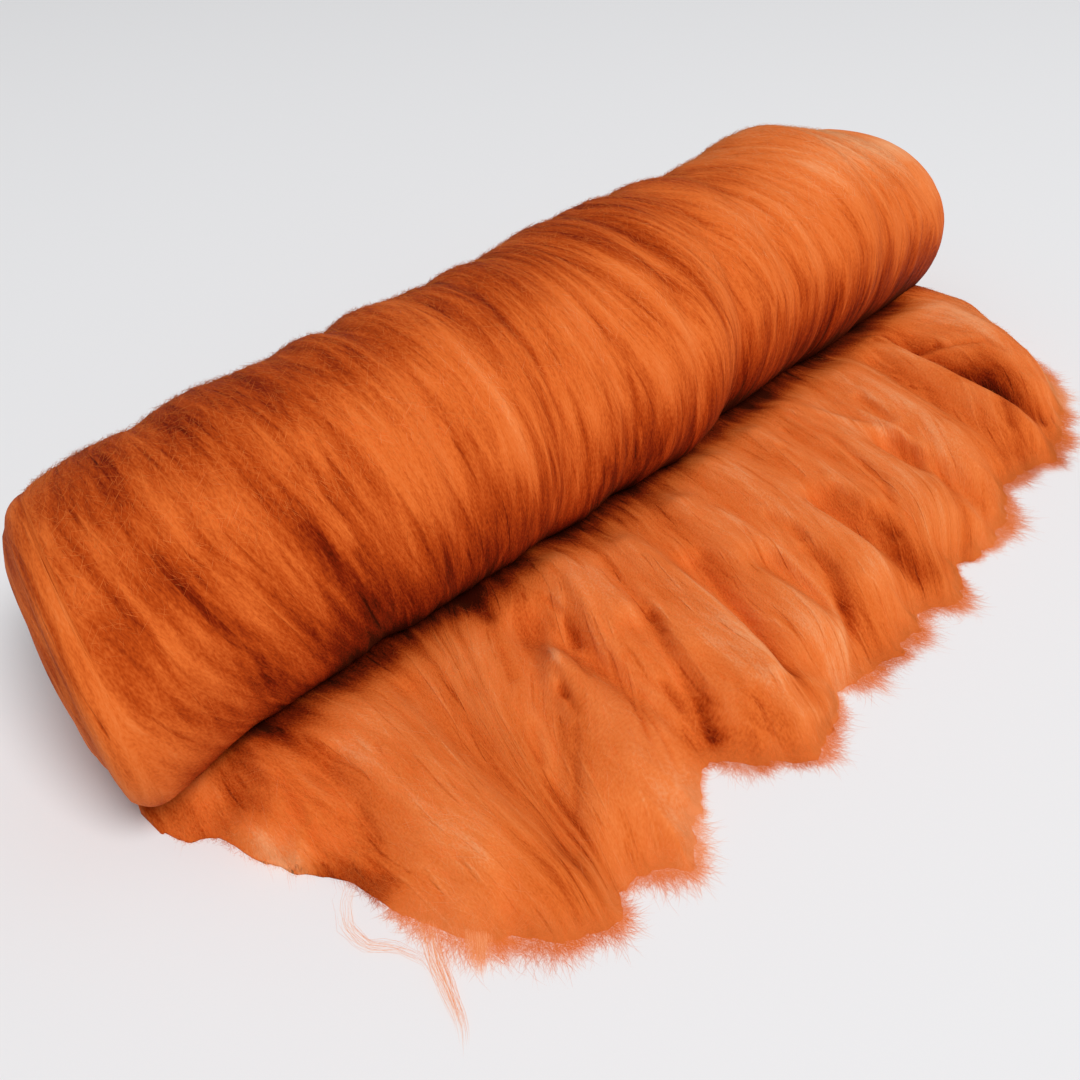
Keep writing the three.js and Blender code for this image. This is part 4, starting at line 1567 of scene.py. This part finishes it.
@dataclass
class RollFibres:
    """Fine fibres lying round the roll, combed with its surface."""

    roll: WoundRoll
    kind: FibreKind = FibreKind(8000, 12, 36, 0.05, Lay.SETTLED, 0.3, 4, 0.2, 0.1, 0.05, 0.02)
    degrees: tuple[float, float] = (18, 345)
    from_ends: float = 2.0
    floor_gap: float = 0.3

    def build(self, material: bpy.types.Material) -> bpy.types.Object:
        """Lays the fibres.

        Args:
            material: The wool's finish.

        Returns:
            All the fibres as one joined mesh.
        """
        rng = np.random.default_rng(SEED + 21)
        kind, roll = self.kind, self.roll
        near, far = roll.ends
        x = rng.uniform(near.at + self.from_ends, far.at - self.from_ends, kind.count)
        degrees = rng.uniform(*self.degrees, kind.count)
        lengths = kind.lengths(rng)
        along = np.linspace(-0.5, 0.5, kind.stations)[None, :] * lengths[:, None]
        turned = degrees[:, None] - along / roll.girth_per_degree
        fibre = np.broadcast_to((x - roll.drift(x, degrees))[:, None], turned.shape)
        moved = fibre + roll.drift(fibre.copy(), turned) + kind.wander(rng, lengths)
        moved = np.clip(moved, near.at, far.at)
        courses = roll.place(moved, turned, np.ones_like(moved), roll.relief(moved, turned) + kind.lifts(rng))
        radii, tones = kind.varied(rng, roll.tone(moved, turned), least=0.7, most=1.4)
        courses[..., 2] = np.maximum(courses[..., 2], self.floor_gap)
        craft = MeshCraft("roll_fibres", material, Slot.WOOL, shades_others=False)
        return craft.build(*Fibres.solids(courses, radii, tones, roll.facing(moved, turned)))


@dataclass
class LooseEndFibres:
    """Fine fibres lying on the loose end, running out from the roll to the free edge."""

    loose: LooseEnd
    kind: FibreKind = FibreKind(8000, 12, 34, 0.05, Lay.SETTLED, 0.3, 4, 0.25, 0.2, 0.05, 0.02)
    from_roll: float = -88.0
    from_edge: float = 4.0
    narrowest: float = 12.0
    floor_gap: float = 0.35

    def courses(self, kind: FibreKind, rng: np.random.Generator, x: Array, y: Array) -> tuple[Array, Array, Array]:
        """Follows the combed direction through given places.

        Args:
            kind: The kind of fibre.
            rng: The source of chance.
            x: Where the fibres' middles are.
            y: The same, along Y.

        Returns:
            The fibres' courses, their tones before chance is added, and which way the wool under them faces.
        """
        loose = self.loose
        lengths = kind.lengths(rng)
        step = lengths / (kind.stations - 1)
        middle = kind.stations // 2
        xs, ys = np.zeros((kind.count, kind.stations)), np.zeros((kind.count, kind.stations))
        xs[:, middle], ys[:, middle] = x, y
        for turn, steps in ((1, kind.stations - 1 - middle), (-1, middle)):
            for k in range(1, steps + 1):
                here = middle + turn * (k - 1)
                slope = loose.slope(xs[:, here], ys[:, here])
                run = step / np.sqrt(1 + slope * slope)
                xs[:, here + turn] = xs[:, here] - turn * slope * run
                ys[:, here + turn] = ys[:, here] - turn * run
        slope = loose.slope(xs, ys)
        aside = kind.wander(rng, lengths) / np.sqrt(1 + slope * slope)
        xs, ys = xs + aside, ys - aside * slope
        top = np.where(loose.inside(xs, ys), loose.height(xs, ys), loose.edge_thickness)
        z = np.maximum(top + kind.lifts(rng), self.floor_gap)
        return np.stack([xs, ys, z], -1), loose.tone(xs, ys), loose.facing(xs, ys)

    def build(self, material: bpy.types.Material) -> bpy.types.Object:
        """Lays the fibres.

        Args:
            material: The wool's finish.

        Returns:
            All the fibres as one joined mesh.
        """
        rng = np.random.default_rng(SEED + 22)
        kind, front = self.kind, self.loose.front
        wide_enough = front[:, 1] < self.from_roll - self.narrowest - self.from_edge
        column = rng.choice(np.flatnonzero(wide_enough), kind.count)
        y = rng.uniform(front[column, 1] + self.from_edge, self.from_roll, kind.count)
        courses, tones, facing = self.courses(kind, rng, front[column, 0], y)
        craft = MeshCraft("loose_end_fibres", material, Slot.WOOL, shades_others=False)
        return craft.build(*Fibres.solids(courses, *kind.varied(rng, tones, least=0.7, most=1.4), facing))


@dataclass
class EdgeFringe:
    """The ragged free edge: fine fibres that leave it and thin out over the surface.

    root_clumps and length_clumps say what a tuft does to its fibres: the middle, how much the tuft's strength adds,
    the least and the most.
    """

    loose: LooseEnd
    name: str = "edge_fringe"
    seed: int = SEED + 23
    kind: FibreKind = FibreKind(16000, 5, 15, 0.04, Lay.STRAY, 1.2, 4, 0.7, 0.25, 0.05, 0.0)
    deepest_root: float = 10.0
    pull: float = 0.35
    root_power: float = 1.2
    root_reach: float = 1.6
    furthest_root: float = 5.0
    root_aside: float = 0.8
    root_clumps: tuple[float, float, float, float] = (0.8, 0.5, 0, 1.5)
    length_clumps: tuple[float, float, float, float] = (0.85, 0.3, 0.35, 1.4)
    clump_step: float = 1.6
    clump_turn: float = 0.05
    first_column: int = 4
    last_columns: int = 2
    near_to: float = -266.0
    near_over: float = 10.0
    near_root: float = 0.5
    near_shorter: float = 0.72
    near_often: float = 0.3
    often_over: float = 8.0
    far_from: float = 290.0
    far_over: float = 40.0
    far_shorter: float = 0.55
    paleness: float = -0.18
    tip_paler: float = 0.1
    floor_gap: float = 0.4

    @staticmethod
    def _in_clump(clump: Array, middle: float, share: float, least: float, most: float) -> Array:
        """What a tuft does to its fibres.

        Args:
            clump: The tuft's strength at each fibre.
            middle: The factor where it has none.
            share: How much its strength adds.
            least: The least factor.
            most: The most.

        Returns:
            A factor for each fibre.
        """
        return np.clip(middle + share * clump, least, most)

    def build(self, material: bpy.types.Material) -> bpy.types.Object:
        """Grows the fringe along the free edge.

        Args:
            material: The thin edge's finish.

        Returns:
            All the fibres as one joined mesh.
        """
        rng = np.random.default_rng(self.seed)
        kind, loose = self.kind, self.loose
        front = loose.front
        tangent = unit(np.gradient(front, axis=0))
        outward = np.stack([tangent[:, 1], -tangent[:, 0]], -1)
        columns = np.arange(self.first_column, len(front) - self.last_columns)
        rise = smoothstep(front[columns, 0], self.near_to - self.often_over, self.near_to)
        often = self.near_often + (1 - self.near_often) * rise
        column = rng.choice(columns, kind.count, p=often / often.sum())
        clump = loose.tufts.at(column * self.clump_step, np.zeros(kind.count))
        depth = self.deepest_root * rng.random(kind.count) ** self.root_power
        outside = np.clip(rng.exponential(self.root_reach, kind.count), 0, self.furthest_root)
        depth = depth - outside * self._in_clump(clump, *self.root_clumps)
        root = front[column] - outward[column] * depth[:, None]
        root = root + tangent[column] * rng.uniform(-self.root_aside, self.root_aside, (kind.count, 1))
        slope = loose.slope(root[:, 0], root[:, 1])
        combed = unit(np.stack([-slope, -np.ones(kind.count)], -1))
        heading = unit(combed * (1 - self.pull) + outward[column] * self.pull)
        angle = np.arctan2(heading[:, 1], heading[:, 0]) + rng.normal(0, kind.stray_angle, kind.count)
        lengths = kind.lengths(rng) * self._in_clump(clump, *self.length_clumps)
        far = smoothstep(front[column, 0], self.far_from, self.far_from + self.far_over)
        lengths *= 1 - self.far_shorter * far
        near = 1 - smoothstep(front[column, 0], self.near_to - self.near_over, self.near_to)
        root = root + outward[column] * (depth * self.near_root * near)[:, None]
        lengths *= 1 - self.near_shorter * near
        turn = rng.normal(0, kind.curl, kind.count) + self.clump_turn * clump
        xs, ys = [root[:, 0]], [root[:, 1]]
        step = lengths / (kind.stations - 1)
        for k in range(1, kind.stations):
            angle = angle + turn
            xs.append(xs[-1] + step * np.cos(angle))
            ys.append(ys[-1] + step * np.sin(angle))
        x, y = np.stack(xs, -1), np.stack(ys, -1)
        on_wool = np.where(loose.inside(x, y), loose.height(x, y), 0.0)
        z = np.maximum(on_wool, self.floor_gap) + np.maximum(kind.lifts(rng), 0)
        along = np.linspace(0, 1, kind.stations)[None, :]
        tones = loose.tone(x[:, :1], y[:, :1]) + self.paleness + self.tip_paler * along
        radii, tones = kind.varied(rng, tones, least=0.6, most=1.2)
        craft = MeshCraft(self.name, material, Slot.EDGE, ("edge_locks",), shades_others=False)
        return craft.build(*Fibres.solids(np.stack([x, y, z], -1), radii, tones, loose.facing(x, y)))


VEIL_KIND = FibreKind(32000, 3, 9, 0.055, Lay.STRAY, 0.8, 3, 1.0, 0.3, 0.05, 0.0)


@dataclass
class StrayFibres:
    """Loose fibres that stand off the roll and the loose end and soften their outlines."""

    roll: WoundRoll
    loose: LooseEnd
    on_roll: FibreKind = FibreKind(17000, 3, 9, 0.08, Lay.STRAY, 2.6, 3, 0.8, 0.2, 0.06, 0.02)
    on_loose: FibreKind = FibreKind(4500, 6, 18, 0.04, Lay.STRAY, 2.0, 3, 0.5, 0.2, 0.06, 0.02)
    degrees: tuple[float, float] = (132, 264)
    past_ends: float = 3.0
    from_roll: float = -64.0
    edge_columns: int = 8
    from_edge: float = 2.0
    edge_band: float = 6.0

    def build(self, material: bpy.types.Material) -> bpy.types.Object:
        """Scatters the fibres.

        Args:
            material: The thin edge's finish.

        Returns:
            All the fibres as one joined mesh.
        """
        rng = np.random.default_rng(SEED + 24)
        kind, roll, past = self.on_roll, self.roll, self.past_ends
        near, far = roll.ends
        x = rng.uniform(near.at, far.at, kind.count)
        degrees = rng.uniform(*self.degrees, kind.count)
        lengths = kind.lengths(rng) * rng.choice([-1, 1], kind.count)
        along = np.linspace(0, 1, kind.stations)[None, :] * lengths[:, None]
        turned = degrees[:, None] - along / roll.girth_per_degree
        moved = np.clip(x[:, None] + kind.wander(rng, lengths), near.at - past, far.at + past)
        courses = roll.place(moved, turned, np.ones_like(moved), roll.relief(moved, turned) + kind.lifts(rng))
        radii, tones = kind.varied(rng, roll.tone(moved, turned), least=0.7, most=1.3)
        on_roll = (courses, radii, tones, roll.facing(moved, turned))
        kind, front = self.on_loose, self.loose.front
        column = rng.integers(self.edge_columns, len(front) - self.edge_columns, kind.count)
        edge = front[column, 1]
        y = rng.uniform(edge + self.from_edge, np.maximum(edge + self.edge_band, self.from_roll), kind.count)
        courses, tones, facing = LooseEndFibres(self.loose).courses(kind, rng, front[column, 0], y)
        on_loose = (courses, *kind.varied(rng, tones, least=0.7, most=1.3), facing)
        craft = MeshCraft("stray_fibres", material, Slot.EDGE, shades_others=False)
        return craft.build(*Fibres.solids(*(np.concatenate(pair) for pair in zip(on_roll, on_loose))))


@dataclass
class CornerWisps:
    """Long wisps drawn out of the near corner, lying on the surface."""

    courses: tuple[tuple[tuple[float, float], ...], ...] = (
        ((-256, -160), (-265, -173), (-272, -184), (-277, -195), (-281, -205), (-286, -214), (-292, -219)),
        ((-268, -134), (-279, -140), (-286, -150), (-286, -162), (-279, -170), (-275, -182), (-279, -196)),
        ((-240, -172), (-250, -184), (-259, -194), (-267, -203)),
    )
    counts: tuple[int, ...] = (70, 24, 420)
    widths: tuple[float, ...] = (9.0, 6.0, 10.0)
    radius: float = 0.045
    starts: tuple[float, float] = (-0.1, 0.35)
    shares: tuple[float, float] = (0.45, 0.9)
    latest: tuple[float, float] = (0.8, 1.02)
    bundling: float = 0.33
    root_width: float = 1.15
    narrowing: float = 0.75
    straying: float = 0.35
    arched: tuple[float, float] = (0.05, 0.95)
    floor_gap: float = 0.5
    lift: float = 2.2
    tone: float = 0.72
    tone_spread: float = 0.12
    stations: int = 10

    def build(self, material: bpy.types.Material) -> bpy.types.Object:
        """Draws the wisps out.

        Args:
            material: The thin edge's finish.

        Returns:
            All the fibres as one joined mesh.
        """
        rng = np.random.default_rng(SEED + 25)
        drawn, tones, radii = [], [], []
        for course, count, width in zip(self.courses, self.counts, self.widths):
            line = np.array(course, float)
            walked = walk(line)
            start = rng.uniform(*self.starts, (count, 1))
            end = np.minimum(start + rng.uniform(*self.shares, (count, 1)), rng.uniform(*self.latest, (count, 1)))
            share = np.clip(start + (end - start) * np.linspace(0, 1, self.stations)[None, :], 0, 1)
            at = share * walked[-1]
            x, y = np.interp(at, walked, line[:, 0]), np.interp(at, walked, line[:, 1])
            dx, dy = np.gradient(x, axis=1), np.gradient(y, axis=1)
            long = np.maximum(np.hypot(dx, dy), FAINT)
            bundle = np.clip(rng.normal(0, self.bundling, (count, 1)), -1, 1)
            stray = rng.normal(0, self.straying, (count, self.stations))
            spread = width * (self.root_width - self.narrowing * share) * bundle + stray
            x, y = x - dy / long * spread, y + dx / long * spread
            arch = np.sin(math.pi * np.clip(share, *self.arched))
            z = self.floor_gap + self.lift * rng.random((count, 1)) * arch
            drawn.append(np.stack([x, y, z], -1))
            pale = rng.normal(self.tone, self.tone_spread, (count, 1))
            tones.append(np.broadcast_to(pale, (count, self.stations)))
            radii.append(self.radius * rng.uniform(0.6, 1.3, count))
        lines = np.concatenate(drawn)
        facing = np.broadcast_to(np.array([0.0, 0.0, 1.0]), lines.shape)
        craft = MeshCraft("corner_wisps", material, Slot.EDGE, ("edge_locks",), shades_others=False)
        return craft.build(*Fibres.solids(lines, np.concatenate(radii), np.concatenate(tones), facing))


@dataclass
class Studio:
    """The pale surface, the soft light and the camera."""

    finish: FloorFinish = FloorFinish()
    floor_half: float = 12.0
    camera_at: tuple[float, float, float] = (-0.4113, -0.3651, 0.3780)
    pitch: float = 38.32
    yaw: float = 47.49
    lens: float = 36.58
    sensor: float = 36.0
    clip: tuple[float, float] = (0.01, 60)
    sky: tuple[float, float, float] = (0.97, 0.98, 1.0)
    sky_strength: float = 0.36
    key_at: tuple[float, float, float] = (-0.96, -4.8, 7.36)
    key_size: float = 3.5
    key_power: float = 595.0
    key_aim: tuple[float, float, float] = (0.0, -0.05, 0.05)

    def build(self) -> None:
        """Lays the surface, hangs the light and sets the camera."""
        bpy.ops.mesh.primitive_plane_add(size=2 * self.floor_half, location=(0, 0, 0))
        floor = bpy.context.active_object
        floor.name = "surface"
        floor.data.materials.append(self.finish.material())
        world = bpy.data.worlds.new("room")
        world.use_nodes = True
        sky = world.node_tree.nodes["Background"]
        sky.inputs["Color"].default_value = (*self.sky, 1)
        sky.inputs["Strength"].default_value = self.sky_strength
        bpy.context.scene.world = world
        light = bpy.data.lights.new("window", "AREA")
        light.shape = "DISK"
        light.size = self.key_size
        light.energy = self.key_power
        window = bpy.data.objects.new("window", light)
        window.location = self.key_at
        aim = np.array(self.key_aim) - np.array(self.key_at)
        window.rotation_euler = (
            math.atan2(math.hypot(aim[0], aim[1]), -aim[2]),
            0,
            math.atan2(aim[1], aim[0]) - math.pi / 2,
        )
        bpy.context.scene.collection.objects.link(window)
        lens = bpy.data.cameras.new("camera")
        lens.lens, lens.sensor_width = self.lens, self.sensor
        lens.clip_start, lens.clip_end = self.clip
        camera = bpy.data.objects.new("camera", lens)
        camera.location = self.camera_at
        camera.rotation_euler = (math.radians(90 - self.pitch), 0, math.radians(-self.yaw))
        bpy.context.scene.collection.objects.link(camera)
        bpy.context.scene.camera = camera
        bpy.context.scene.view_settings.view_transform = "Standard"


def main() -> None:
    """Builds the batt's pieces in order and sets the scene."""
    logging.basicConfig(level=logging.INFO, format="%(message)s", stream=sys.stdout)
    wool, spread, thin = WOOL.material(), SPREAD_WOOL.material(), EDGE_WOOL.material()
    Studio().build()
    roll, loose = WoundRoll(), LooseEnd()
    roll.build(wool)
    loose.build(spread)
    RollFibres(roll).build(wool)
    LooseEndFibres(loose).build(spread)
    EdgeFringe(loose).build(thin)
    EdgeFringe(loose, "edge_veil", SEED + 26, VEIL_KIND, deepest_root=6.0, pull=0.6).build(thin)
    StrayFibres(roll, loose).build(thin)
    CornerWisps().build(thin)


if __name__ == "__main__":
    main()
